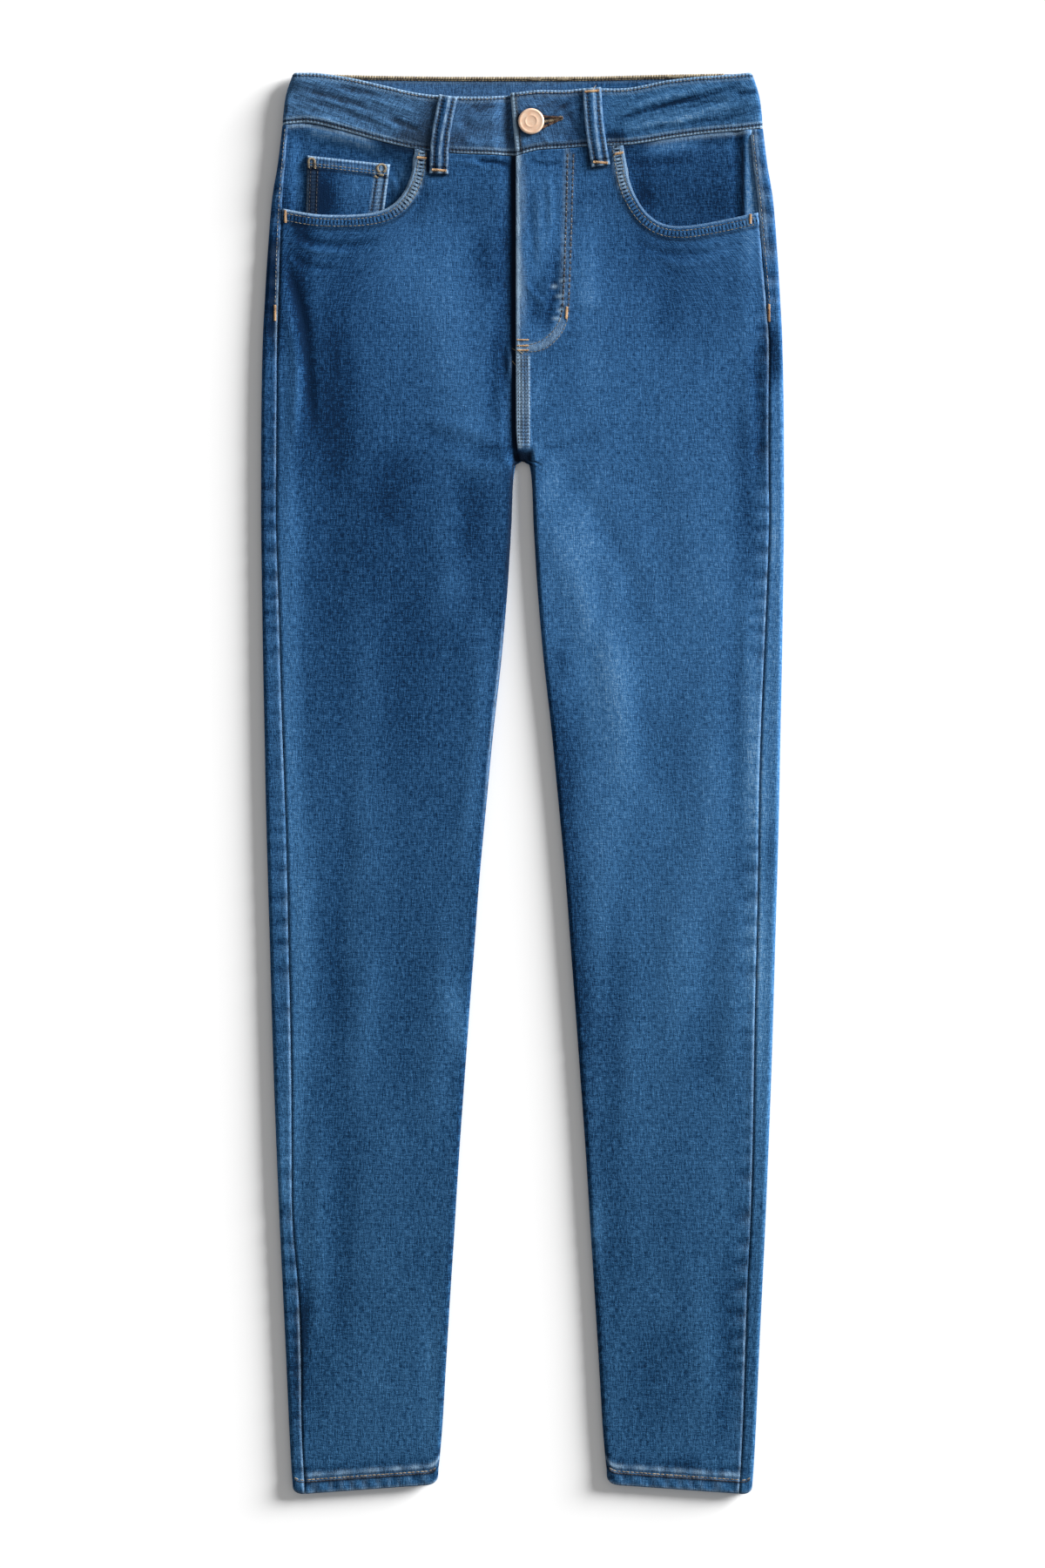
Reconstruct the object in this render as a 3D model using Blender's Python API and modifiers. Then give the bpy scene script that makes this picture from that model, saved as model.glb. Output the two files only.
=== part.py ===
# Skinny jeans laid flat on their back, front up, fly buttoned.
# Metres, +Z up: +X is the wearer's left, +Y runs up to the waist, Z = 0 is the surface under them.
# Sizes and tables are in millimetres, and MM turns them into metres where points are set.
import math
from collections import namedtuple

import bmesh
import bpy

MM = 0.001

# Cloth
WALL = 1.4             # one layer of denim
BAND_WALL = 2.0        # waistband, two layers
POCKET_WALL = 1.2      # pocket facings and coin pocket
LOOP_WALL = 1.2        # belt loops
GAP = 0.3              # between pieces at a seam or a lap
WAIST_GAP = 0.5        # at the waist seam, whose two edges are faceted at different places
CROTCH_GAP = 0.8       # at the inseam where it curves round the crotch

# Heights of the outer surface above what the jeans lie on
LEG_HEIGHT = 6.2
HIP_HEIGHT = 7.8       # where the pockets add layers
BAND_HEIGHT = 8.2
BACK_LIFT = LOOP_WALL + GAP  # the back of the waist lies on its belt loops
LIFT_START, LIFT_END = 400.0, 435.0
FOLD_LIMIT = 0.5       # folds rise and sink no more than this

# Landmarks along the length
HEM = -510.0
HEM_DEPTH = 10.0       # turned hem, down from its stitch line
HEM_LIFT = 0.5
HEM_SLANT = 7.5        # the inner end of a hem is higher than its outer end
LEG_TOP = 222.0
CROTCH = 228.0
HIP = 330.0            # above this the fronts' rows bend towards the pocket mouths

# Laps at the centre front
FLY_DIP = WALL + GAP   # the right front drops this far to pass under the left one
FLY_EASE = 9.0         # over this width
LAP_END = 22.0         # the right end of the waistband reaches this far under the tab
LAP_EASE = 12.0

# Pocket mouths
MOUTH_LIFT = 0.5       # the turned edge stands this proud
COIN_DIP = POCKET_WALL + GAP  # the facing sinks this far under the coin pocket
FACING_INNER = 62.0    # half-width where the facings end, under the fronts
FACING_REACH = 1.5     # they reach this far under the wrap of the back
FACING_DEPTH = 392.0
COIN_DEPTH = 399.0

# Belt loops
LOOP_WIDTH = 13.5
LOOP_RIB = 0.2         # raised along the middle
LOOP_STEP = 6.0        # length of the step down from the waistband to the panel

# Fly button
BUTTON_AT = (6.2, 475.0)
BUTTON_RADIUS = 9.3
BUTTON_STEPS = 36

# Half-widths of the flattened garment, and where the outseam shows on top of it
Girth = namedtuple("Girth", "up outer inner seam_right seam_left")
GIRTHS = [
    Girth(-510, 165.0, 60.6, 156.2, 155.2),
    Girth(-500, 165.6, 60.2, 156.6, 156.2),
    Girth(-463, 167.6, 57.6, 158.4, 158.2),
    Girth(-413, 169.8, 54.7, 159.0, 159.8),
    Girth(-363, 172.2, 51.6, 160.8, 161.4),
    Girth(-313, 174.6, 48.4, 165.0, 163.8),
    Girth(-263, 176.7, 45.3, 165.5, 165.3),
    Girth(-213, 178.6, 41.7, 165.8, 166.2),
    Girth(-163, 180.2, 38.1, 166.6, 167.0),
    Girth(-113, 181.6, 34.3, 167.8, 168.2),
    Girth(-63, 183.1, 30.5, 168.8, 169.2),
    Girth(-13, 184.4, 25.8, 170.3, 169.8),
    Girth(38, 185.4, 20.9, 172.2, 171.2),
    Girth(88, 186.4, 15.3, 173.8, 173.4),
    Girth(138, 187.2, 10.9, 175.2, 175.5),
    Girth(188, 187.8, 7.8, 176.7, 177.2),
    Girth(222, 187.8, 5.8, 176.6, 176.9),
    Girth(270, 187.6, 0.0, 176.4, 176.8),
    Girth(319, 186.6, 0.0, 176.0, 177.0),
    Girth(350, 185.0, 0.0, 175.0, 174.6),
    Girth(381, 183.1, 0.0, 174.2, 171.8),
    Girth(419, 180.0, 0.0, 172.3, 168.4),
    Girth(444, 175.9, 0.0, 170.3, 165.2),
    Girth(469, 172.8, 0.0, 168.2, 162.8),
    Girth(481, 171.6, 0.0, 167.5, 162.0),
    Girth(495, 169.4, 0.0, 166.5, 161.0),
    Girth(510, 165.0, 0.0, 165.0, 160.0),
]

# Free edges at the centre: front edges of the two fronts, and of each back
Centre = namedtuple("Centre", "up front_right front_left back")
CENTRES = [
    Centre(188, -7.8, 7.8, 7.8),
    Centre(212, -6.7, 6.7, 6.7),
    Centre(222, -5.4, 5.4, 5.2),
    Centre(228, -3.4, 2.6, 2.2),
    Centre(234, -1.6, -1.4, 0.15),
    Centre(244, 0.6, -3.8, 0.15),
    Centre(262, 2.0, -4.6, 0.15),
    Centre(452, 2.0, -5.0, 0.15),
]

# Upper and lower edges of the waistband
Band = namedtuple("Band", "across top seam")
BAND_RIGHT = [
    Band(-166, 510.0, 473.4),
    Band(-150, 509.8, 474.2),
    Band(-125, 506.3, 468.4),
    Band(-100, 501.0, 461.4),
    Band(-75, 495.6, 455.6),
    Band(-50, 493.3, 452.6),
    Band(-25, 493.1, 451.6),
    Band(-9, 494.2, 451.0),
    Band(22, 494.8, 451.4),
]
BAND_LEFT = [
    Band(-5, 495.6, 450.6),
    Band(10, 497.6, 454.6),
    Band(30, 497.6, 456.0),
    Band(46, 499.0, 457.4),
    Band(75, 499.2, 458.6),
    Band(105, 504.6, 463.4),
    Band(126, 507.0, 466.2),
    Band(150, 508.6, 468.4),
    Band(166, 510.0, 470.2),
]
BAND_BACK = [
    Band(-166, 510.0, 471.8),
    Band(-110, 508.4, 467.6),
    Band(-50, 507.6, 464.8),
    Band(0, 507.6, 464.0),
    Band(50, 507.8, 464.8),
    Band(110, 509.2, 467.6),
    Band(166, 510.0, 471.8),
]
TAB_TOP_END, TAB_SEAM_END = -8.8, -4.8

# Pocket mouths, from the waist seam down and out to the outseam
Mouth = namedtuple("Mouth", "across up")
MOUTH_RIGHT = [
    Mouth(-77.2, 455.6),
    Mouth(-78.4, 443.4),
    Mouth(-81.6, 431.9),
    Mouth(-88.1, 420.6),
    Mouth(-98.1, 412.8),
    Mouth(-111.3, 409.4),
    Mouth(-130.0, 408.3),
    Mouth(-149.4, 409.0),
    Mouth(-172.0, 412.8),
]
MOUTH_LEFT = [
    Mouth(72.3, 458.2),
    Mouth(74.4, 446.3),
    Mouth(76.4, 434.4),
    Mouth(81.1, 421.9),
    Mouth(89.2, 409.8),
    Mouth(100.0, 402.3),
    Mouth(113.6, 400.3),
    Mouth(131.3, 402.3),
    Mouth(169.0, 410.0),
]

# Coin pocket corners on the right facing
COIN_TOP = (Mouth(-154.4, 451.0), Mouth(-95.0, 444.6))
COIN_SIDES = (-155.8, -101.0)

# Belt loops: upper end, middle and lower end of each centre line
Loop = namedtuple("Loop", "across up")
FRONT_LOOPS = {
    "belt_loop_front_right": [Loop(-53.2, 493.2), Loop(-58.8, 463.0), Loop(-60.0, 437.4)],
    "belt_loop_front_left": [Loop(49.6, 499.0), Loop(51.8, 470.6), Loop(56.2, 443.0)],
}
BACK_LOOPS = {
    "belt_loop_back_right": [Loop(-110.0, 508.0), Loop(-111.0, 480.0), Loop(-112.0, 452.0)],
    "belt_loop_back_centre": [Loop(8.0, 507.4), Loop(7.0, 478.0), Loop(6.0, 449.0)],
    "belt_loop_back_left": [Loop(110.0, 508.8), Loop(111.0, 480.0), Loop(112.0, 452.0)],
}

# The largest soft folds of the fronts: centre, direction in degrees, half length, half width, rise
Fold = namedtuple("Fold", "across up turn reach spread rise")
FOLDS = [
    Fold(-42, 246, 14, 42, 11, -0.45),
    Fold(-46, 285, 80, 60, 10, 0.40),
    Fold(-28, 150, 84, 75, 10, 0.40),
    Fold(-150, 130, 86, 210, 9, -0.45),
    Fold(-165, 200, 88, 170, 6, 0.35),
    Fold(-66, -40, 88, 120, 14, 0.35),
    Fold(-120, -250, 87, 150, 12, -0.40),
    Fold(-140, -380, 80, 70, 8, 0.40),
    Fold(28, 190, -62, 60, 11, 0.45),
    Fold(62, 110, -70, 90, 12, 0.45),
    Fold(72, 10, 86, 90, 10, 0.40),
    Fold(118, 190, -78, 110, 14, -0.45),
    Fold(128, -60, 88, 110, 12, -0.40),
    Fold(98, -190, 82, 110, 12, 0.40),
    Fold(150, -140, 86, 90, 8, -0.40),
    Fold(118, -390, 88, 90, 11, -0.35),
]

# The turn at the inner edge of a leg, as shares of its radius, from the inseam to the flat
Turn = namedtuple("Turn", "inward upward")
TURNS = [Turn(0.0, 0.0), Turn(0.0, 0.24), Turn(0.30, 0.74), Turn(1.0, 1.0)]

# How the columns of a panel share its flat width, centre to outseam
ARC_STEPS = len(TURNS) - 1
WAIST_SHARES = [0.03, 0.085, 0.20, 0.32, 0.44]
MOUTH_STEPS = 7
FIRST_MOUTH = ARC_STEPS + len(WAIST_SHARES)
BACK_SHARES = [0.18, 0.38, 0.58, 0.78, 0.90, 1.0]
FOLD_STEPS = 5

# How the rows of a panel share its length
LEG_STEPS = 19
CROTCH_ROWS = [228.0, 234.0, 240.0, 252.0, 268.0, 288.0, 310.0]
HIP_SHARES = [0.0, 0.2, 0.4, 0.58, 0.74, 0.85, 0.92, 1.0]
BACK_HIP_ROWS = [350.0, 375.0, 400.0, 418.0, 436.0]
FACING_ROWS = [0.0, 0.3, 0.55, 0.75, 0.88, 1.0]
FACING_STEPS = 8
COIN_ROWS = [0.0, 0.35, 0.65, 0.88, 1.0]
COIN_STEPS = 6
LOOP_ROWS = 8

# The waistband's columns, once round, and its rows from the seam up
BAND_ROWS = [0.0, 0.12, 0.5, 0.88, 1.0]
LAP_COLUMNS = [LAP_END, 10.0, -1.0, -10.0, -16.0, -22.0]
FRONT_RIGHT_COLUMNS = [-36.0, -50.0, -64.0, -80.0, -100.0, -120.0, -140.0, -155.0]
BACK_COLUMNS = [-150.0, -110.0, -70.0, -35.0, 0.0, 35.0, 70.0, 110.0, 150.0]
FRONT_LEFT_COLUMNS = [155.0, 140.0, 120.0, 100.0, 80.0, 62.0, 46.0, 30.0, 14.0, 2.0]
SLANT_FROM = 60.0      # beyond this half-width the columns lean in with the side of the waist
SIDE_FOLD = 165.5      # half-width of the waistband's flat part at mid-height

# Half section of the button, from its underside over the raised ring to the sunk centre
Turned = namedtuple("Turned", "radius height")
BUTTON_SECTION = [
    Turned(0.0, 0.0),
    Turned(BUTTON_RADIUS - 1.2, 0.0),
    Turned(BUTTON_RADIUS - 0.3, 0.5),
    Turned(BUTTON_RADIUS, 1.2),
    Turned(BUTTON_RADIUS - 0.5, 1.9),
    Turned(BUTTON_RADIUS - 1.4, 2.3),
    Turned(BUTTON_RADIUS - 2.6, 2.3),
    Turned(BUTTON_RADIUS - 3.3, 1.9),
    Turned(BUTTON_RADIUS - 3.8, 1.7),
    Turned(2.0, 2.1),
    Turned(0.0, 2.2),
]

DENIM = (0.036, 0.098, 0.225)
DENIM_DARK = (0.024, 0.070, 0.165)
COPPER = (0.72, 0.40, 0.28)


# ---- reading the tables ----

def read(table, key, value, column):
    # A smooth curve through the rows of a table that rises in its key column.
    rows = sorted(table, key=lambda row: getattr(row, key))
    keys = [getattr(row, key) for row in rows]
    values = [getattr(row, column) for row in rows]
    if value <= keys[0]:
        return values[0]
    if value >= keys[-1]:
        return values[-1]
    i = max(n for n in range(len(keys) - 1) if keys[n] <= value)

    def slope(n):
        before, after = max(n - 1, 0), min(n + 1, len(keys) - 1)
        return (values[after] - values[before]) / (keys[after] - keys[before])

    span = keys[i + 1] - keys[i]
    t = (value - keys[i]) / span
    return (
        (2 * t**3 - 3 * t**2 + 1) * values[i]
        + (t**3 - 2 * t**2 + t) * span * slope(i)
        + (3 * t**2 - 2 * t**3) * values[i + 1]
        + (t**3 - t**2) * span * slope(i + 1)
    )


def smooth(low, high, value):
    t = min(max((value - low) / (high - low), 0.0), 1.0)
    return t * t * (3 - 2 * t)


def mix(a, b, share):
    return a + (b - a) * share


def points_along(route, count):
    # Points at equal steps along a route of (across, up) rows, both ends included.
    lengths = [0.0]
    for a, b in zip(route, route[1:]):
        lengths.append(lengths[-1] + math.hypot(b.across - a.across, b.up - a.up))
    Step = namedtuple("Step", "run across up")
    table = [Step(run, p.across, p.up) for run, p in zip(lengths, route)]
    runs = [lengths[-1] * n / (count - 1) for n in range(count)]
    return [(read(table, "run", r, "across"), read(table, "run", r, "up")) for r in runs]


# ---- the flattened form ----

def lifted(up):
    return smooth(LIFT_START, LIFT_END, up)


def floor_height(up):
    return BACK_LIFT * lifted(up)


def top_height(up):
    return mix(LEG_HEIGHT, HIP_HEIGHT, lifted(up))


def folds(across, up):
    total = 0.0
    for fold in FOLDS:
        turn = math.radians(fold.turn)
        dx, dy = across - fold.across, up - fold.up
        along = dx * math.cos(turn) + dy * math.sin(turn)
        aside = dy * math.cos(turn) - dx * math.sin(turn)
        fade = 1 - smooth(0.4 * fold.reach, fold.reach, abs(along))
        total += fold.rise * fade * math.exp(-((aside / fold.spread) ** 2))
    return max(min(total, FOLD_LIMIT), -FOLD_LIMIT)


def girth(up, column):
    return read(GIRTHS, "up", up, column)


def turned(up):
    # How far the inner edge of a leg has turned down: none at the rise, all of it in the leg.
    return 1 - smooth(CROTCH - 8, CROTCH + 10, up)


def inseam_gap(up):
    return mix(GAP, CROTCH_GAP, smooth(CROTCH - 45, CROTCH - 15, up))


def hem_slant(up, across):
    half_inner, half_outer = girth(up, "inner"), girth(up, "outer")
    share = (half_outer - abs(across)) / (half_outer - half_inner)
    return HEM_SLANT * share * (1 - smooth(HEM, HEM + 60, up))


def leg_rows():
    # From the hem to the crotch, closer at the hem.
    first = HEM + HEM_DEPTH
    rows = [HEM, first - 0.6, first + 0.6]
    step = (LEG_TOP - first) / LEG_STEPS
    return rows + [first + step * n for n in range(1, LEG_STEPS + 1)]


# ---- making solids ----

def finish(name, mesh, color, rough, metal=0.0):
    material = bpy.data.materials.new(name)
    material.use_nodes = True
    shader = material.node_tree.nodes["Principled BSDF"]
    shader.inputs["Base Color"].default_value = (*color, 1.0)
    shader.inputs["Roughness"].default_value = rough
    shader.inputs["Metallic"].default_value = metal
    mesh.materials.append(material)


def cloth(name, columns, wall, color, outward_flips):
    # A sheet through columns of (x, y, z) points on its outer side, thickened inwards.
    mesh = bpy.data.meshes.new(name)
    sheet = bmesh.new()
    across, along = len(columns), len(columns[0])
    bmesh.ops.create_grid(sheet, x_segments=across - 1, y_segments=along - 1, size=1.0)
    for vert in sheet.verts:
        column = round((vert.co.x + 1) / 2 * (across - 1))
        row = round((vert.co.y + 1) / 2 * (along - 1))
        vert.co = [value * MM for value in columns[column][row]]
    if outward_flips:
        bmesh.ops.reverse_faces(sheet, faces=sheet.faces)
    sheet.to_mesh(mesh)
    sheet.free()
    mesh.shade_smooth()
    finish(name, mesh, color, 0.9)
    piece = bpy.data.objects.new(name, mesh)
    jeans.objects.link(piece)
    thicken = piece.modifiers.new("wall", "SOLIDIFY")
    thicken.thickness = wall * MM
    thicken.offset = -1.0
    thicken.use_even_offset = True
    return piece


# ---- fronts ----

def front_row(side, n, up):
    # Where column n of a front crosses a straight row, and where the row's centre edge is.
    seam = side * (girth(up, "seam_right" if side < 0 else "seam_left") - GAP / 2)
    edge = read(CENTRES, "up", up, "front_right" if side < 0 else "front_left")
    if up < CENTRES[0].up:
        edge = side * girth(up, "inner")
    arc = LEG_HEIGHT / 2 * math.pi / 2
    if n <= ARC_STEPS:
        return edge + side * arc * n / ARC_STEPS, edge
    start = edge + side * mix(arc, LEG_HEIGHT / 2, turned(up))
    if n <= FIRST_MOUTH:
        share = WAIST_SHARES[n - ARC_STEPS - 1]
    else:
        share = mix(WAIST_SHARES[-1], 1.0, (n - FIRST_MOUTH) / MOUTH_STEPS)
    return mix(start, seam, share), edge


def front_end(side, n, across):
    # Where column n ends: on the waist seam, or on the pocket mouth.
    mouth = MOUTH_RIGHT if side < 0 else MOUTH_LEFT
    band = BAND_RIGHT if side < 0 else BAND_LEFT
    if n >= FIRST_MOUTH:
        across, up = points_along(mouth, MOUTH_STEPS + 1)[n - FIRST_MOUTH]
        return across, min(up, read(band, "across", across, "seam") - WAIST_GAP)
    if n > ARC_STEPS:
        start = front_row(side, ARC_STEPS, HIP)[0]
        share = WAIST_SHARES[n - ARC_STEPS - 1] / WAIST_SHARES[-1]
        across = mix(start, mouth[0].across, share)
    return across, read(band, "across", across, "seam") - WAIST_GAP


def front_height(side, n, across, up, edge, lift):
    # The outer surface at column n, and how far the turn at a leg's inner edge moves it across.
    top = top_height(up) + folds(across, up) + lift
    if n <= ARC_STEPS:
        radius = (top_height(up) - floor_height(up)) / 2
        middle = floor_height(up) + radius + inseam_gap(up) / 2
        turned_across = edge + side * radius * TURNS[n].inward
        across = mix(across, turned_across, turned(up))
        top = mix(top, mix(middle, top, TURNS[n].upward), turned(up))
    if side < 0:
        top -= FLY_DIP * fly_share(across, up)
    return across, up, top


def front_panel(side):
    columns = []
    for n in range(FIRST_MOUTH + MOUTH_STEPS + 1):
        column = []
        for up in leg_rows() + CROTCH_ROWS:
            across, edge = front_row(side, n, up)
            lift = HEM_LIFT * (1 - smooth(HEM + HEM_DEPTH - 0.6, HEM + HEM_DEPTH + 0.6, up))
            up += hem_slant(up, across)
            column.append(front_height(side, n, across, up, edge, lift))
        low_across, edge = front_row(side, n, HIP)
        end_across, end_up = front_end(side, n, low_across)
        for share in HIP_SHARES:
            up = mix(HIP, end_up, share)
            across = mix(low_across, end_across, share)
            if n == FIRST_MOUTH + MOUTH_STEPS:
                across = front_row(side, n, up)[0]
            lift = MOUTH_LIFT * smooth(0.85, 0.92, share) if n >= FIRST_MOUTH else 0.0
            column.append(front_height(side, n, across, up, edge, lift))
        columns.append(column)
    cloth("front_right" if side < 0 else "front_left", columns, WALL, DENIM, side < 0)


def fly_share(across, up):
    # 1 where the right front lies under the left one, easing to 0 beside it.
    if up < CROTCH:
        return 0.0
    over = read(CENTRES, "up", up, "front_left") - 1.5
    return smooth(over - FLY_EASE, over, across)


# ---- backs ----

def back_panel(side):
    right = side < 0
    name = "back_right" if right else "back_left"
    seam_column = "seam_right" if right else "seam_left"
    band = BAND_RIGHT if right else BAND_LEFT
    side_seam = band[0].seam if right else band[-1].seam
    rows = leg_rows() + CROTCH_ROWS + [HIP] + BACK_HIP_ROWS + [BAND_BACK[3].seam]
    stations = ARC_STEPS + 1 + len(BACK_SHARES) + FOLD_STEPS + 1
    columns = []
    for n in range(stations):
        column = []
        for up in rows:
            point = back_point(side, n, up, seam_column)
            if up > BACK_HIP_ROWS[-1]:
                round_fold = (n - ARC_STEPS - len(BACK_SHARES)) / FOLD_STEPS
                if round_fold <= 0:
                    seam = read(BAND_BACK, "across", point[0], "seam")
                elif round_fold <= 1:
                    seam = mix(BAND_BACK[0].seam, side_seam, round_fold)
                else:
                    seam = read(band, "across", point[0], "seam")
                point = back_point(side, n, seam - WAIST_GAP, seam_column)
            column.append(point)
        columns.append(column)
    cloth(name, columns, WALL, DENIM, not right)


def back_point(side, n, up, seam_column):
    low, high = floor_height(up), top_height(up)
    radius = (high - low) / 2
    outer = girth(up, "outer")
    inner = read(CENTRES, "up", up, "back") if up >= CENTRES[0].up else girth(up, "inner")
    down = turned(up)
    arc = radius * math.pi / 2
    flat_end = outer - radius
    first_flat = ARC_STEPS + 1
    first_fold = first_flat + len(BACK_SHARES)
    if n <= ARC_STEPS:
        across = mix(inner + arc * n / ARC_STEPS, inner + radius * TURNS[n].inward, down)
        height = mix(low, low + (radius - inseam_gap(up) / 2) * (1 - TURNS[n].upward), down)
    elif n < first_fold:
        start = inner + mix(arc, radius, down)
        across = mix(start, flat_end, BACK_SHARES[n - first_flat])
        height = low
    elif n < first_fold + FOLD_STEPS:
        angle = (n - first_fold + 1) / FOLD_STEPS * math.pi
        across = flat_end + radius * math.sin(angle)
        height = low + radius * (1 - math.cos(angle))
    else:
        across = girth(up, seam_column) + GAP / 2
        height = high
    return side * across, up + hem_slant(up, across), height


# ---- waistband ----

def band_columns():
    # Once round from the end under the tab: front right, right side, back, left side, tab.
    right = LAP_COLUMNS + FRONT_RIGHT_COLUMNS
    columns = [band_column(BAND_RIGHT, across, BAND_HEIGHT) for across in right]
    columns += [band_fold(-1, n) for n in range(FOLD_STEPS + 1)]
    columns += [band_column(BAND_BACK, across, BACK_LIFT) for across in BACK_COLUMNS]
    columns += [band_fold(1, FOLD_STEPS - n) for n in range(FOLD_STEPS + 1)]
    columns += [band_column(BAND_LEFT, across, BAND_HEIGHT) for across in FRONT_LEFT_COLUMNS]
    columns.append(band_end())
    return columns


def band_column(edges, across, height):
    top, seam = (read(edges, "across", across, key) for key in ("top", "seam"))
    column = []
    for share in BAND_ROWS:
        up = mix(seam, top, share)
        flat_end = girth(up, "outer") - (BAND_HEIGHT - BACK_LIFT) / 2
        x = across * flat_end / SIDE_FOLD if abs(across) > SLANT_FROM else across
        dip = 0.0
        if edges is BAND_RIGHT:
            dip = (BAND_WALL + GAP) * smooth(-LAP_END, -LAP_END + LAP_EASE, across)
        column.append((x, up, height - dip))
    return column


def band_fold(side, n):
    # The side fold, from its upper end round to its lower end.
    angle = n / FOLD_STEPS * math.pi
    radius = (BAND_HEIGHT - BACK_LIFT) / 2
    front = BAND_RIGHT[0] if side < 0 else BAND_LEFT[-1]
    back = BAND_BACK[0] if side < 0 else BAND_BACK[-1]
    share = n / FOLD_STEPS
    top, seam = mix(front.top, back.top, share), mix(front.seam, back.seam, share)
    column = []
    for row in BAND_ROWS:
        up = mix(seam, top, row)
        flat_end = girth(up, "outer") - radius
        height = BACK_LIFT + radius * (1 + math.cos(angle))
        column.append((side * (flat_end + radius * math.sin(angle)), up, height))
    return column


def band_end():
    edge = BAND_LEFT[0]
    return [
        (mix(TAB_SEAM_END, TAB_TOP_END, row), mix(edge.seam, edge.top, row), BAND_HEIGHT)
        for row in BAND_ROWS
    ]


# ---- pockets ----

def pocket_facing(side):
    right = side < 0
    band = BAND_RIGHT if right else BAND_LEFT
    seam_column = "seam_right" if right else "seam_left"
    columns = []
    for n in range(FACING_STEPS + 1):
        column = []
        for share in FACING_ROWS:
            at_seam = side * mix(FACING_INNER, SIDE_FOLD, n / FACING_STEPS)
            top = read(band, "across", at_seam, "seam") - WAIST_GAP
            up = mix(FACING_DEPTH, top, share)
            under_wrap = girth(up, seam_column) + FACING_REACH
            across = side * mix(FACING_INNER, under_wrap, n / FACING_STEPS)
            height = top_height(up) - WALL - GAP
            if right:
                from_side = under_wrap - abs(across)
                dip = smooth(4, 13, from_side) * smooth(3, 14, top - up)
                height -= COIN_DIP * dip
            column.append((across, up, height))
        columns.append(column)
    name = "pocket_facing_right" if right else "pocket_facing_left"
    cloth(name, columns, POCKET_WALL, DENIM_DARK, right)


def coin_pocket():
    outer_top, inner_top = COIN_TOP
    columns = []
    for n in range(COIN_STEPS + 1):
        share = n / COIN_STEPS
        top_up = mix(outer_top.up, inner_top.up, share)
        top_across = mix(outer_top.across, inner_top.across, share)
        low_across = mix(COIN_SIDES[0], COIN_SIDES[1], share)
        column = []
        for row in COIN_ROWS:
            up = mix(COIN_DEPTH, top_up, row)
            height = top_height(up) - WALL - GAP
            column.append((mix(low_across, top_across, row), up, height))
        columns.append(column)
    cloth("coin_pocket", columns, POCKET_WALL, DENIM, False)


# ---- belt loops ----

def belt_loop(name, centre, on_front):
    rows = points_along(centre, LOOP_ROWS)
    band = BAND_BACK if not on_front else BAND_RIGHT if centre[0].across < 0 else BAND_LEFT
    columns = []
    for across_share in (-0.5, -0.25, 0.25, 0.5):
        column = []
        for across, up in reversed(rows):
            rib = LOOP_RIB * (1 - smooth(0.25, 0.5, abs(across_share)))
            seam = read(band, "across", across, "seam")
            if on_front:
                on_band = smooth(seam - 1 - LOOP_STEP, seam - 1, up)
                height = mix(HIP_HEIGHT, BAND_HEIGHT, on_band) + GAP + LOOP_WALL + rib
            else:
                height = 0.0
            column.append((across + across_share * LOOP_WIDTH, up, height))
        columns.append(column)
    cloth(name, columns, LOOP_WALL, DENIM, not on_front)


# ---- button ----

def button():
    mesh = bpy.data.meshes.new("button")
    profile = bmesh.new()
    verts = [profile.verts.new((p.radius * MM, 0.0, p.height * MM)) for p in BUTTON_SECTION]
    for a, b in zip(verts, verts[1:]):
        profile.edges.new((a, b))
    bmesh.ops.spin(
        profile,
        geom=profile.verts[:] + profile.edges[:],
        cent=(0, 0, 0),
        axis=(0, 0, 1),
        angle=math.tau,
        steps=BUTTON_STEPS,
        use_merge=True,
    )
    bmesh.ops.remove_doubles(profile, verts=profile.verts, dist=0.00001)
    bmesh.ops.recalc_face_normals(profile, faces=profile.faces)
    profile.to_mesh(mesh)
    profile.free()
    mesh.shade_smooth()
    finish("button", mesh, COPPER, 0.3, 1.0)
    piece = bpy.data.objects.new("button", mesh)
    piece.location = (BUTTON_AT[0] * MM, BUTTON_AT[1] * MM, (BAND_HEIGHT + GAP) * MM)
    jeans.objects.link(piece)


for old in list(bpy.data.objects):
    bpy.data.objects.remove(old, do_unlink=True)

jeans = bpy.data.collections.new("skinny_jeans")
bpy.context.scene.collection.children.link(jeans)

for side in (-1, 1):
    front_panel(side)
    back_panel(side)
    pocket_facing(side)
coin_pocket()
cloth("waistband", band_columns(), BAND_WALL, DENIM, True)
for name, centre in FRONT_LOOPS.items():
    belt_loop(name, centre, True)
for name, centre in BACK_LOOPS.items():
    belt_loop(name, centre, False)
button()
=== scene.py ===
import math
import random

import bmesh
import bpy
import numpy as np
from mathutils import Matrix, Vector
from mathutils.bvhtree import BVHTree


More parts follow.
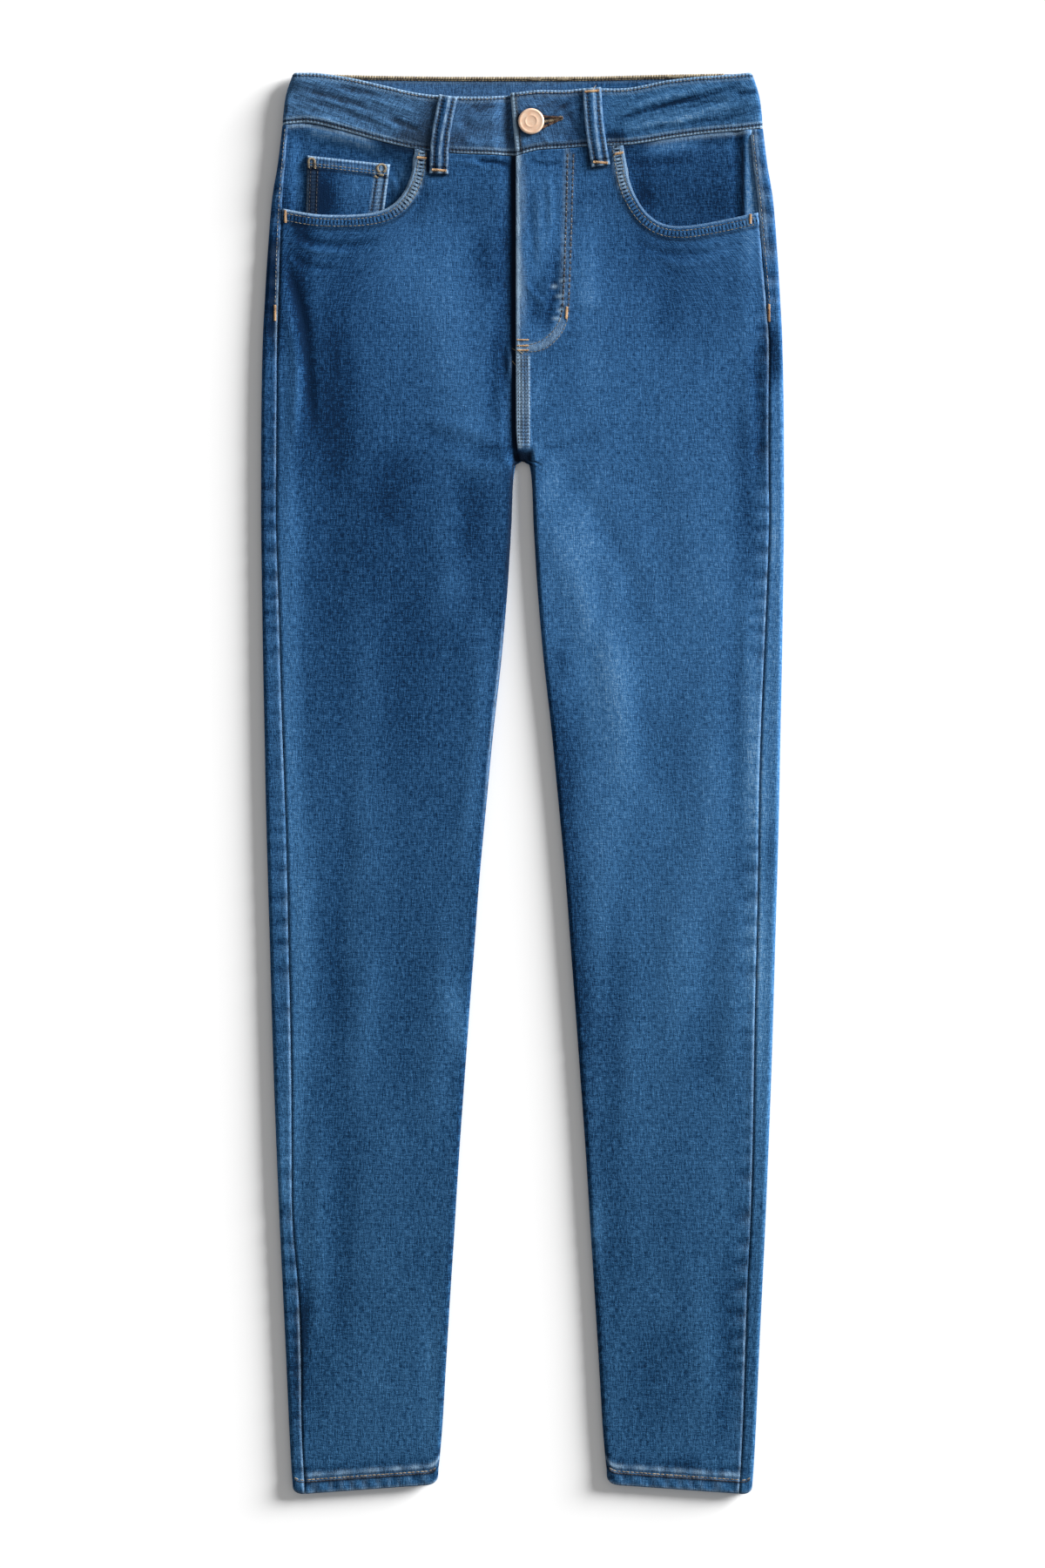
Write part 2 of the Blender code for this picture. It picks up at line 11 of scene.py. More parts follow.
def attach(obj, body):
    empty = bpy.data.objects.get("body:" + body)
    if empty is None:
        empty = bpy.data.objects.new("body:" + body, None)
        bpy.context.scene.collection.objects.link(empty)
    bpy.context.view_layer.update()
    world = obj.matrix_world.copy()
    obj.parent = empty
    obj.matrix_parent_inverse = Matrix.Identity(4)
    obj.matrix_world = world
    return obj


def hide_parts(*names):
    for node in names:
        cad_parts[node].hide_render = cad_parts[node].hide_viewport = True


# Skinny jeans laid flat on their back, front up. +X is the wearer's left, +Y runs up to the waist.
# Tables and sizes are in millimetres, as in the part's source; mm turns them into metres.
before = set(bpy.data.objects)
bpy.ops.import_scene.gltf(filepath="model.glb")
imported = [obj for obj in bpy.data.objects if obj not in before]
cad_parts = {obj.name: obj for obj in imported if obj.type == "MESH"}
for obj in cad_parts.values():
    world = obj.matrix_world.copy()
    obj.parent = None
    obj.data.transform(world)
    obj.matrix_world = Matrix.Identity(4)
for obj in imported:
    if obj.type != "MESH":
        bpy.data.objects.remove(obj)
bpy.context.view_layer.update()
print("frame loaded:", len(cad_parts), "nodes")

mm = 0.001
chance = random.Random(11)

# the flattened garment, with the same measures as the part's source
cloth = {
    "wall": 1.4,
    "bandWall": 2.0,
    "pocketWall": 1.2,
    "loopWall": 1.2,
    "gap": 0.3,
    "waistGap": 0.5,
    "crotchGap": 0.8,
    "legHeight": 6.2,
    "hipHeight": 7.8,
    "bandHeight": 8.2,
    "backLift": 1.5,       # the back of the waist lies on its belt loops
    "liftFrom": 400.0,
    "liftTo": 435.0,
    "hem": -510.0,
    "hemSlant": 7.5,       # the inner end of a hem is higher than its outer end
    "hemDepth": 10.0,      # from the hem's edge up to its stitches
    "hemCorner": 8.0,      # rounding of the hem's corners
    "crotch": 228.0,
    "hip": 330.0,          # above this the rows bend towards the pocket mouths
    "lapEnd": 22.0,
    "lapEase": 12.0,
    "flyDip": 1.7,
    "flyEase": 11.0,
}

# up, half-width outside, half-width inside, outseam on the right, outseam on the left
girths = [
    (-510, 165.0, 60.6, 156.2, 155.2),
    (-500, 165.6, 60.2, 156.6, 156.2),
    (-463, 167.6, 57.6, 158.4, 158.2),
    (-413, 169.8, 54.7, 159.0, 159.8),
    (-363, 172.2, 51.6, 160.8, 161.4),
    (-313, 174.6, 48.4, 165.0, 163.8),
    (-263, 176.7, 45.3, 165.5, 165.3),
    (-213, 178.6, 41.7, 165.8, 166.2),
    (-163, 180.2, 38.1, 166.6, 167.0),
    (-113, 181.6, 34.3, 167.8, 168.2),
    (-63, 183.1, 30.5, 168.8, 169.2),
    (-13, 184.4, 25.8, 170.3, 169.8),
    (38, 185.4, 20.9, 172.2, 171.2),
    (88, 186.4, 15.3, 173.8, 173.4),
    (138, 187.2, 10.9, 175.2, 175.5),
    (188, 187.8, 7.8, 176.7, 177.2),
    (222, 187.8, 5.8, 176.6, 176.9),
    (270, 187.6, 0.0, 176.4, 176.8),
    (319, 186.6, 0.0, 176.0, 177.0),
    (350, 185.0, 0.0, 175.0, 174.6),
    (381, 183.1, 0.0, 174.2, 171.8),
    (419, 180.0, 0.0, 172.3, 168.4),
    (444, 175.9, 0.0, 170.3, 165.2),
    (469, 172.8, 0.0, 168.2, 162.8),
    (481, 171.6, 0.0, 167.5, 162.0),
    (495, 169.4, 0.0, 166.5, 161.0),
    (510, 165.0, 0.0, 165.0, 160.0),
]

# up, free edge of the right front, of the left front and of each back
centres = [
    (188, -7.8, 7.8, 7.8),
    (212, -7.0, 7.0, 7.0),
    (222, -6.6, 6.6, 6.2),
    (227, -6.3, 6.1, 5.4),
    (229.5, -6.1, 5.9, 4.6),
    (231.5, -1.8, -1.2, 0.15),
    (244, 0.6, -3.8, 0.15),
    (262, 2.0, -4.6, 0.15),
    (452, 2.0, -5.0, 0.15),
]

# across, top edge, seam
bandRight = [
    (-166, 510.0, 473.4),
    (-150, 509.8, 474.2),
    (-125, 506.3, 468.4),
    (-100, 501.0, 461.4),
    (-75, 495.6, 455.6),
    (-50, 493.3, 452.6),
    (-25, 493.1, 451.6),
    (-9, 494.2, 451.0),
    (22, 494.8, 451.4),
]
bandLeft = [
    (-5, 495.6, 450.6),
    (10, 497.6, 454.6),
    (30, 497.6, 456.0),
    (46, 499.0, 457.4),
    (75, 499.2, 458.6),
    (105, 504.6, 463.4),
    (126, 507.0, 466.2),
    (150, 508.6, 468.4),
    (166, 510.0, 470.2),
]
bandBack = [
    (-166, 510.0, 471.8),
    (-110, 508.4, 467.6),
    (-50, 507.6, 464.8),
    (0, 507.6, 464.0),
    (50, 507.8, 464.8),
    (110, 509.2, 467.6),
    (166, 510.0, 471.8),
]
tabEnds = {"top": -8.8, "seam": -4.8}

mouthRight = [
    (-77.2, 455.6), (-78.4, 443.4), (-81.6, 431.9), (-88.1, 420.6), (-98.1, 412.8),
    (-111.3, 409.4), (-130.0, 408.3), (-149.4, 409.0), (-172.0, 412.8),
]
mouthLeft = [
    (72.3, 458.2), (74.4, 446.3), (76.4, 434.4), (81.1, 421.9), (89.2, 409.8),
    (100.0, 402.3), (113.6, 400.3), (131.3, 402.3), (169.0, 410.0),
]

loopCentres = {
    "belt_loop_front_right": [(-53.2, 493.2), (-58.8, 463.0), (-60.0, 437.4)],
    "belt_loop_front_left": [(49.6, 499.0), (51.8, 470.6), (56.2, 443.0)],
    "belt_loop_back_right": [(-110.0, 508.0), (-111.0, 480.0), (-112.0, 452.0)],
    "belt_loop_back_centre": [(8.0, 507.4), (7.0, 478.0), (6.0, 449.0)],
    "belt_loop_back_left": [(110.0, 508.8), (111.0, 480.0), (112.0, 452.0)],
}


def smooth(low, high, value):
    t = np.clip((value - low) / (high - low), 0.0, 1.0)
    return t * t * (3 - 2 * t)


def fall(low, high, value):
    return 1 - smooth(low, high, value)


def mixed(a, b, share):
    return a + (b - a) * share


def bell(distance, width):
    return np.exp(-(distance / width) ** 2)


def curveThrough(rows):
    # a smooth function through rows of (place, value); it reads arrays
    at, value = np.array(sorted(rows), float).T
    after, before = np.append(at[1:], at[-1]), np.insert(at[:-1], 0, at[0])
    slope = (np.append(value[1:], value[-1]) - np.insert(value[:-1], 0, value[0])) / (after - before)

    def read(place):
        place = np.clip(place, at[0], at[-1])
        n = np.clip(np.searchsorted(at, place, side="right") - 1, 0, len(at) - 2)
        span = at[n + 1] - at[n]
        t = (place - at[n]) / span
        return (
            (2 * t**3 - 3 * t**2 + 1) * value[n]
            + (t**3 - 2 * t**2 + t) * span * slope[n]
            + (3 * t**2 - 2 * t**3) * value[n + 1]
            + (t**3 - t**2) * span * slope[n + 1]
        )

    return read


def columnOf(table, n):
    return curveThrough([(row[0], row[n]) for row in table])


# each reads one column of a table at any height (girths, centres) or place across (the waistband);
# a side is -1 for the wearer's right and 1 for the left
outerAt, innerAt = columnOf(girths, 1), columnOf(girths, 2)
seamAt = {-1: columnOf(girths, 3), 1: columnOf(girths, 4)}
edgeAt = {-1: columnOf(centres, 1), 1: columnOf(centres, 2)}
edgeBackAt = columnOf(centres, 3)
topEdgeAt = {-1: columnOf(bandRight, 1), 1: columnOf(bandLeft, 1)}
waistAt = {-1: columnOf(bandRight, 2), 1: columnOf(bandLeft, 2)}
topBackAt, waistBackAt = columnOf(bandBack, 1), columnOf(bandBack, 2)
words = {-1: "right", 1: "left"}


def runsOf(route):
    # how far along a route each of its points is
    return np.insert(np.cumsum(np.hypot(*np.diff(route, axis=0).T)), 0, 0.0)


def routeThrough(points, step=0.5):
    # points at equal steps along a smooth line through a few (across, up) points
    spots = np.array(points, float)
    runs = runsOf(spots)
    x, y = curveThrough(list(zip(runs, spots[:, 0]))), curveThrough(list(zip(runs, spots[:, 1])))
    places = np.linspace(0, runs[-1], max(2, int(runs[-1] / step) + 1))
    return np.stack([x(places), y(places)], axis=1)


def line(*points):
    return routeThrough(points)


def ring(centre, radius, start, end):
    # an arc of a circle between two angles in degrees
    angles = np.radians(np.linspace(start, end, 24))
    return np.stack([centre[0] + radius * np.cos(angles), centre[1] + radius * np.sin(angles)], axis=1)


def beside(route, distance):
    # the same line, moved over to its left by a distance
    ahead = np.gradient(route, axis=0)
    ahead /= np.linalg.norm(ahead, axis=1, keepdims=True)
    return route + distance * np.stack([-ahead[:, 1], ahead[:, 0]], axis=1)


def nearestOn(route, x, y, reach):
    # how far each point lies to the left of a route (negative to its right), and where along it
    aside, run = np.full(x.shape, 1000.0), np.zeros(x.shape)
    low, high = route.min(axis=0) - reach, route.max(axis=0) + reach
    near = np.flatnonzero((x > low[0]) & (x < high[0]) & (y > low[1]) & (y < high[1]))
    ahead, runs = np.gradient(route, axis=0), runsOf(route)
    for part in np.array_split(near, max(1, len(near) // 4000)):
        dx, dy = x[part, None] - route[:, 0], y[part, None] - route[:, 1]
        n = np.argmin(dx**2 + dy**2, axis=1)
        rows = np.arange(len(part))
        dx, dy = dx[rows, n], dy[rows, n]
        side = np.sign(ahead[n, 0] * dy - ahead[n, 1] * dx)
        aside[part] = side * np.hypot(dx, dy)
        run[part] = runs[n]
    return aside, run


mouthRoutes = {-1: routeThrough(mouthRight), 1: routeThrough(mouthLeft)}
frontLoops = [
    routeThrough(list(reversed(centre)))
    for name, centre in loopCentres.items()
    if "front" in name
]
flyOuter = routeThrough([
    (36.6, 453.8), (35.6, 418.8), (34.6, 385.0), (33.1, 346.9), (32.0, 333.1),
    (26.3, 321.3), (14.4, 311.6), (-3.2, 309.6),
])
flyInner = routeThrough([
    (32.3, 453.8), (31.6, 418.8), (30.6, 385.0), (28.9, 346.9), (26.6, 333.0),
    (20.3, 323.1), (10.6, 316.6), (-3.0, 314.4),
])

# The soft folds of the whole front, with its wear and painted shade. A fold that only tones the cloth is a
# faded or a darker patch; a trough's darker tone is partly wear and partly painted shade. Columns: across,
# up, direction in degrees, half length, half width, rise, tone.
folds = [
    # right leg (left in the picture)
    (-135, 190, 84, 120, 15, -0.5, -0.05),
    (-133, 310, 86, 130, 19, -0.2, -0.22),
    (-178, 130, 90, 120, 7, 0.0, 0.20),
    (-42, 190, 84, 44, 12, -0.3, -0.24),
    (-118, 60, 88, 110, 14, 0.2, 0.16),
    (-138, -170, 88, 150, 16, -0.2, -0.12),
    (-165, 235, 86, 110, 8, 0.5, 0.16),
    (-166, 60, 89, 220, 9, 0.4, 0.34),
    (-162, -170, 88, 200, 9, 0.3, 0.28),
    (-131, -60, 88, 200, 10, -0.4, -0.08),
    (-108, 130, 88, 150, 30, 0.0, -0.08),
    (-72, 375, 20, 55, 26, 0.2, 0.14),
    (-47, 300, 96, 105, 20, 0.5, 0.22),
    (-54, 165, 82, 70, 12, 0.4, 0.20),
    (-76, 90, 86, 140, 18, 0.0, -0.08),
    (-36, 20, 84, 110, 7, 0.4, 0.18),
    (-110, -40, 88, 60, 14, 0.2, 0.09),
    (-113, -170, 88, 90, 10, 0.3, 0.14),
    (-86, -150, 89, 120, 14, -0.2, -0.07),
    (-58, -180, 86, 120, 8, 0.3, 0.10),
    (-96, -300, 86, 110, 18, 0.2, 0.05),
    (-128, -330, 87, 120, 9, -0.3, -0.13),
    (-148, -300, 88, 110, 8, 0.4, 0.10),
    (-146, -430, 84, 50, 9, -0.3, -0.08),
    (-104, -440, 88, 70, 26, 0.2, 0.05),
    (-66, -400, 86, 100, 6, -0.2, -0.06),
    (-158, 365, 88, 52, 8, -0.2, -0.34),
    (-178, 353, 90, 55, 7, 0.0, -0.66),
    (-160, 402, 88, 20, 8, 0.0, -0.42),
    (-158, 320, 88, 26, 8, 0.0, -0.28),
    # painted shade, with the dark of the stitches, on the waistband's lower edge beside the two front loops
    (-66, 461, -5, 34, 5, 0.0, -0.40),
    (67, 463, 0, 11, 5, 0.0, -0.66),
    (-9, 437, 90, 12, 5, 0.0, -0.16),
    (-9, 387, 90, 14, 5, 0.0, -0.16),
    (-9, 288, 90, 12, 5, 0.0, 0.14),
    (24, 218, 80, 28, 10, 0.0, 0.22),
    (9, 240, 88, 10, 5, 0.0, 0.22),
    (12, 282, 88, 16, 4, 0.0, 0.18),
    (47, 318, 88, 70, 9, 0.0, 0.12),
    (50, -330, 88, 44, 6, 0.0, 0.34),
    (47, 60, 88, 40, 7, 0.0, 0.10),
    (28, 88, 88, 16, 5, 0.0, -0.18),
    (-159, -450, 88, 32, 7, 0.0, -0.20),
    (-142, 420, 88, 16, 12, 0.0, -0.20),
    (-136, 270, 88, 80, 14, -0.2, -0.18),
    (-160, 246, 88, 60, 6, 0.0, -0.20),
    (-94, 212, 88, 40, 15, -0.2, -0.20),
    (-28, 375, 88, 30, 10, -0.2, -0.26),
    (-158, -400, 88, 56, 6, -0.4, -0.54),
    (-47, -168, 88, 38, 8, 0.2, 0.28),
    (-178, -300, 89, 76, 7, 0.2, 0.34),
    (-141, -188, 88, 45, 8, 0.0, 0.13),
    (-121, -98, 88, 60, 8, 0.0, 0.15),
    (-66, -425, 88, 80, 7, 0.0, 0.18),
    (-29, 100, 88, 40, 8, 0.0, 0.13),
    (-20, 238, 10, 20, 6, 0.0, -0.18),
    (-66, 434, 88, 10, 5, 0.0, 0.16),
    # left leg (right in the picture)
    (93, 384, 10, 46, 18, -0.3, -0.05),
    (84, 388, 88, 44, 8, 0.0, -0.14),
    (141, 387, 0, 18, 5, 0.0, 0.18),
    (47, 400, 88, 24, 8, 0.0, 0.14),
    (48, 360, 88, 40, 10, 0.2, 0.24),
    (48, 187, 88, 44, 12, 0.2, 0.20),
    (66, 150, 88, 30, 10, 0.2, 0.14),
    (160, 412, 88, 48, 7, 0.2, 0.26),
    (158, 345, 88, 30, 9, 0.0, -0.14),
    (178, 187, 90, 40, 6, 0.0, 0.16),
    (180, -50, 90, 30, 5, 0.0, -0.16),
    (159, -187, 88, 18, 6, 0.0, -0.16),
    (116, -488, 0, 16, 5, 0.0, -0.22),
    (84, 38, 88, 44, 12, -0.2, -0.14),
    (140, 75, 88, 70, 12, -0.2, -0.12),
    (168, -60, 88, 40, 12, -0.2, -0.18),
    (122, -188, 88, 40, 12, -0.2, -0.16),
    (120, 350, 84, 60, 20, -0.2, -0.08),
    (163, 360, 88, 60, 8, 0.3, 0.22),
    (164, 270, 88, 80, 7, 0.4, 0.06),
    (52, 330, 94, 110, 20, 0.3, 0.02),
    (103, 362, 86, 60, 12, -0.3, -0.15),
    (160, 212, 88, 96, 9, -0.4, -0.30),
    (178, 307, 90, 30, 6, -0.3, -0.68),
    (48, 88, 86, 56, 8, 0.3, 0.18),
    (10, 345, 88, 24, 6, -0.4, -0.40),
    (66, -230, 88, 210, 10, -0.2, -0.18),
    (110, -360, 88, 140, 12, 0.0, -0.12),
    (66, 50, 88, 90, 15, 0.3, 0.10),
    (44, 60, 82, 120, 8, -0.4, -0.16),
    (100, 175, -80, 120, 16, -0.4, -0.06),
    (124, 120, 86, 120, 14, 0.2, 0.05),
    (112, 20, 88, 100, 14, -0.3, -0.12),
    (138, 40, 90, 160, 11, 0.3, 0.10),
    (152, 60, 90, 120, 7, -0.3, -0.10),
    (165, -60, 91, 230, 7, 0.4, 0.34),
    (60, -60, 84, 90, 12, 0.3, 0.10),
    (94, -90, 86, 90, 12, -0.3, -0.03),
    (103, -26, 88, 26, 8, 0.0, 0.12),
    (118, -140, 88, 100, 14, 0.4, 0.14),
    (136, -180, 88, 110, 9, -0.3, -0.03),
    (141, -280, 88, 80, 7, 0.0, 0.09),
    (152, -150, 88, 90, 8, 0.3, 0.10),
    (70, -240, 85, 110, 12, 0.3, 0.08),
    (110, -330, 88, 110, 16, 0.2, 0.06),
    (88, -430, 88, 70, 14, -0.2, -0.10),
    (103, -375, 88, 25, 8, 0.0, 0.12),
    (141, -455, 88, 24, 9, 0.0, -0.12),
    (128, -410, 90, 80, 10, 0.3, 0.10),
    (148, -400, 89, 80, 8, -0.3, -0.16),
    # waistband, right half
    (-133, 482, -14, 24, 5.0, 0.2, 0.12),
    (-68, 478, 72, 22, 9.0, 0.0, -0.32),
    (-80, 465, -15, 18, 5.0, 0.0, -0.26),
    (-45, 464, 0, 9, 5.0, 0.0, -0.24),
    (-30, 487, 0, 14, 5.0, 0.0, -0.26),
    (-40, 472, 96, 14, 3.0, -0.3, -0.12),
    (-24, 480, 20, 14, 3.0, 0.3, 0.10),
    # waistband, left half
    (28, 487, 8, 20, 7.0, 0.0, -0.14),
    (100, 474, 10, 40, 5.0, 0.0, 0.18),
    (40, 463, 0, 16, 4.0, 0.0, -0.16),
    (158, 487, 12, 16, 8.0, 0.0, -0.14),
    (30, 466, 8, 16, 3.6, -0.3, -0.12),
]

# The sharper creases: a line of (across, up) points, half width, rise, tone. A trough's darker tone is
# partly wear and partly painted shade, a ridge's lighter tone partly wear and partly painted highlight.
creases = [
    # from the right outseam down into the thigh, and its neighbours under the pocket
    (
        [(-173.8, 398.8), (-168.1, 375.0), (-160.6, 343.8), (-155.0, 312.5), (-151.9, 281.0), (-150, 238)],
        4.4, -0.9, -0.42,
    ),
    ([(-172.0, 360.0), (-165.0, 320.0), (-162.0, 280.0), (-163.0, 230.0)], 3.6, 0.5, 0.16),
    ([(-169.0, 397.0), (-143.8, 388.0), (-118.8, 386.9), (-96.0, 393.5)], 2.6, -0.6, -0.24),
    ([(-168.8, 391.0), (-146.9, 382.0), (-122.0, 380.0)], 2.2, 0.5, 0.15),
    ([(-170.6, 385.6), (-156.3, 373.8), (-130.0, 368.0)], 2.8, -0.5, -0.15),
    ([(-86.0, 398.0), (-74.0, 414.0), (-69.0, 436.0)], 2.8, -0.4, -0.14),
    # beside and on the fly
    ([(-36.0, 447.5), (-18.8, 446.0), (-6.5, 441.5)], 1.7, -0.8, -0.50),
    ([(-66.0, 446.5), (-45.0, 447.0), (-24.0, 441.0)], 2.0, 0.4, 0.14),
    (
        [(-8.5, 443.0), (-12.0, 400.0), (-14.0, 356.0), (-17.5, 312.0), (-20.0, 268.0), (-19.0, 236.0)],
        6.0, -0.6, -0.26,
    ),
    ([(18.8, 446.0), (20.0, 412.5), (17.5, 375.0)], 2.6, 0.4, 0.16),
    ([(8.5, 440.0), (6.0, 400.0), (9.0, 360.0)], 3.0, -0.3, -0.14),
    ([(26.0, 388.0), (22.5, 350.0), (13.0, 322.0)], 3.2, -0.6, -0.30),
    ([(12.0, 430.0), (13.5, 400.0), (12.0, 368.0)], 3.6, 0.3, 0.12),
    ([(0.0, 364.0), (8.0, 352.0), (18.0, 343.0)], 2.2, 0.4, 0.14),
    ([(4.0, 447.5), (18.0, 444.5), (32.0, 446.0)], 1.6, -0.5, -0.30),
    ([(33.0, 341.0), (44.0, 338.0), (58.0, 341.0)], 4.0, -0.3, -0.16),
    # the crotch
    ([(-84.0, 256.0), (-50.0, 247.0), (-14.0, 236.5)], 5.5, -0.4, -0.07),
    ([(-78.0, 264.0), (-43.8, 257.0), (-12.5, 247.0)], 5.0, 0.3, 0.05),
    ([(-60.0, 236.0), (-30.0, 228.0), (-9.0, 222.0)], 4.0, 0.4, 0.10),
    ([(8.0, 236.0), (28.0, 243.0), (60.0, 250.0)], 4.0, -0.4, -0.10),
    (
        [(6.3, 228.0), (25.0, 187.5), (46.9, 131.3), (62.5, 87.5), (72.5, 31.3), (76.0, -30.0)],
        13.0, 0.7, 0.20,
    ),
    ([(14.0, 246.0), (44.0, 210.0), (74.0, 150.0), (92.0, 90.0)], 9.0, -0.4, -0.10),
    # the left outseam, and under the left pocket
    ([(172.5, 336.0), (169.5, 312.5), (168.8, 287.5), (169.8, 256.0), (171.0, 205.0)], 4.6, -0.9, -0.42),
    ([(75.0, 397.0), (90.6, 384.4), (112.5, 380.0), (143.8, 385.0), (166.3, 393.8)], 2.6, -0.5, -0.10),
    ([(94.0, 378.0), (118.0, 373.0), (150.0, 380.0)], 3.0, 0.4, 0.08),
    # waistband, right half
    ([(-168.0, 501.5), (-146.9, 495.0), (-124.4, 489.4), (-104.0, 481.5)], 1.6, -1.0, -0.52),
    ([(-165.0, 495.0), (-143.8, 486.9), (-121.9, 480.6), (-98.0, 471.0)], 1.7, -0.8, -0.40),
    ([(-99.5, 479.0), (-85.6, 473.1), (-71.0, 466.5)], 1.7, -1.0, -0.50),
    ([(-169.0, 484.8), (-143.8, 476.9), (-117.5, 470.0), (-90.0, 461.5)], 2.6, 0.6, 0.24),
    ([(-114.0, 495.5), (-93.8, 486.3), (-73.0, 480.5)], 2.0, 0.5, 0.20),
    ([(-138.0, 502.8), (-118.8, 496.9), (-97.0, 491.5)], 1.5, -0.7, -0.45),
    ([(-126.0, 485.0), (-106.3, 476.9), (-84.0, 467.5)], 1.8, 0.5, 0.20),
    ([(-167.0, 507.0), (-145.0, 503.0), (-122.0, 499.0)], 1.8, 0.4, 0.16),
    ([(-166.0, 478.0), (-146.0, 471.0), (-130.0, 467.5)], 1.6, -0.6, -0.40),
    ([(-47.0, 464.5), (-31.3, 459.4), (-12.5, 462.5)], 2.0, 0.5, 0.18),
    ([(-46.0, 476.0), (-30.0, 470.0), (-14.0, 474.0)], 2.2, -0.5, -0.20),
    ([(-44.0, 488.0), (-30.0, 484.0), (-13.0, 486.0)], 1.8, -0.4, -0.14),
    ([(-12.5, 493.0), (-11.0, 475.0), (-9.5, 453.0)], 2.6, -0.3, -0.34),
    # waistband, left half
    ([(57.5, 470.5), (76.9, 479.4), (96.9, 485.6), (121.3, 491.9), (144.0, 499.0)], 1.8, -1.1, -0.56),
    ([(60.5, 477.5), (84.4, 486.9), (112.5, 495.0), (146.0, 503.0)], 2.3, 0.6, 0.24),
    ([(110.0, 484.0), (131.3, 488.1), (150.0, 491.0)], 1.4, -0.8, -0.36),
    ([(85.6, 483.1), (109.4, 488.1), (132.5, 493.1), (165.0, 503.8)], 1.5, -0.6, -0.40),
    ([(150.0, 496.3), (161.3, 495.6), (171.5, 497.7)], 1.5, -0.8, -0.50),
    ([(92.0, 468.0), (125.0, 480.0), (156.3, 487.5), (169.0, 490.5)], 3.4, 0.6, 0.30),
    ([(64.5, 462.0), (87.5, 468.8), (112.5, 473.1), (143.8, 477.5), (170.0, 481.5)], 1.7, -0.6, -0.40),
    ([(72.0, 466.5), (96.0, 474.0), (126.0, 476.5)], 1.8, 0.4, 0.14),
    ([(24.0, 490.0), (34.4, 478.1), (40.0, 461.0)], 2.4, -0.5, -0.24),
    ([(10.0, 463.0), (22.0, 461.0), (34.0, 464.0)], 2.0, 0.4, 0.16),
    ([(10.0, 489.0), (24.0, 485.0), (38.0, 490.0)], 1.8, -0.3, -0.14),
    # facings
    ([(-155.0, 461.5), (-125.0, 456.5), (-99.0, 447.5)], 2.0, -0.5, -0.24),
    ([(-158.0, 468.0), (-125.0, 462.0), (-90.0, 453.5)], 1.7, 0.5, 0.24),
    ([(-93.5, 449.0), (-88.8, 434.4), (-79.0, 421.0)], 2.4, -0.5, -0.28),
    ([(-95.5, 438.5), (-90.6, 430.0), (-93.5, 420.0)], 1.3, 0.5, 0.26),
    ([(-92.0, 452.0), (-84.0, 449.0), (-77.0, 440.0)], 1.4, 0.4, 0.22),
    ([(77.0, 451.3), (100.0, 454.2), (134.0, 457.5)], 2.2, 0.4, 0.14),
    ([(80.0, 436.0), (92.0, 420.0), (108.0, 409.0)], 4.0, -0.2, -0.14),
]
# broad tone by height, partly wear and partly painted light: each leg's tone at (up, tone);
# the wearer's left leg, on the side of the light, is the lighter
toneAt = {
    -1: curveThrough([
        (-510, 0.41), (-420, 0.40), (-281, 0.38), (-156, 0.39), (-31, 0.38), (62, 0.34), (156, 0.31),
        (281, 0.42), (375, 0.47), (440, 0.45), (510, 0.50),
    ]),
    1: curveThrough([
        (-510, 0.43), (-406, 0.40), (-281, 0.43), (-156, 0.50), (-31, 0.58), (62, 0.60), (156, 0.62),
        (281, 0.56), (375, 0.48), (440, 0.50), (510, 0.52),
    ]),
}
creaseRoutes = [(routeThrough(points, 0.8), *rest) for points, *rest in creases]


def patchWeight(dx, dy, turn, reach, spread, wander=0.0):
    # 1 in the middle of a long patch turned by an angle in degrees, 0 away from it
    cosine, sine = math.cos(math.radians(turn)), math.sin(math.radians(turn))
    along, aside = dx * cosine + dy * sine, dy * cosine - dx * sine + wander
    return fall(0.25 * reach, reach, np.abs(along)) * bell(aside, spread)


def foldsAt(x, y):
    # rise and tone of the soft folds and the creases
    rise, tone = np.zeros(x.shape), np.zeros(x.shape)
    for across, up, turn, reach, spread, height, shade in folds:
        far = reach + 2 * spread
        near = np.flatnonzero((np.abs(x - across) < far) & (np.abs(y - up) < far))
        dx, dy = x[near] - across, y[near] - up
        wander = 0.25 * spread * np.sin(dy / (0.45 * reach) + across)    # no fold is quite straight
        weight = patchWeight(dx, dy, turn, reach, spread, wander)
        rise[near] += height * weight
        tone[near] += shade * weight
    for route, width, height, shade in creaseRoutes:
        aside, run = nearestOn(route, x, y, 2.2 * width)
        aside += 0.22 * width * np.sin(run / (3.4 * width))
        share = run / runsOf(route)[-1]
        weight = bell(aside, width) * smooth(0.0, 0.3, share) * fall(0.7, 1.0, share)
        rise += height * weight
        tone += shade * weight
    return rise, tone


def lifted(y):
    return smooth(cloth["liftFrom"], cloth["liftTo"], y)


def floorAt(y):
    return cloth["backLift"] * lifted(y)


def topAt(y):
    return mixed(cloth["legHeight"], cloth["hipHeight"], lifted(y))


def turnedAt(y):
    # how far the inner edge of a leg has turned down: none at the rise, all of it in the leg
    return fall(cloth["crotch"] - 8, cloth["crotch"] + 10, y)


def seamGapAt(y):
    # the space between front and back at the inseam, which opens at the crotch
    return mixed(cloth["gap"], cloth["crotchGap"], smooth(cloth["crotch"] - 45, cloth["crotch"] - 15, y))


def pinches(place, pitch, seed):
    # narrow dips at uneven steps, 1 at their lowest
    drift = 0.37 * np.sin(place / (1.7 * pitch) + seed) + 0.21 * np.sin(place / (0.71 * pitch) + 2 * seed)
    strength = 0.65 + 0.35 * np.sin(place / (2.3 * pitch) + 3 * seed)
    return strength * ((1 + np.cos(math.tau * (place / pitch + drift))) / 2) ** 3


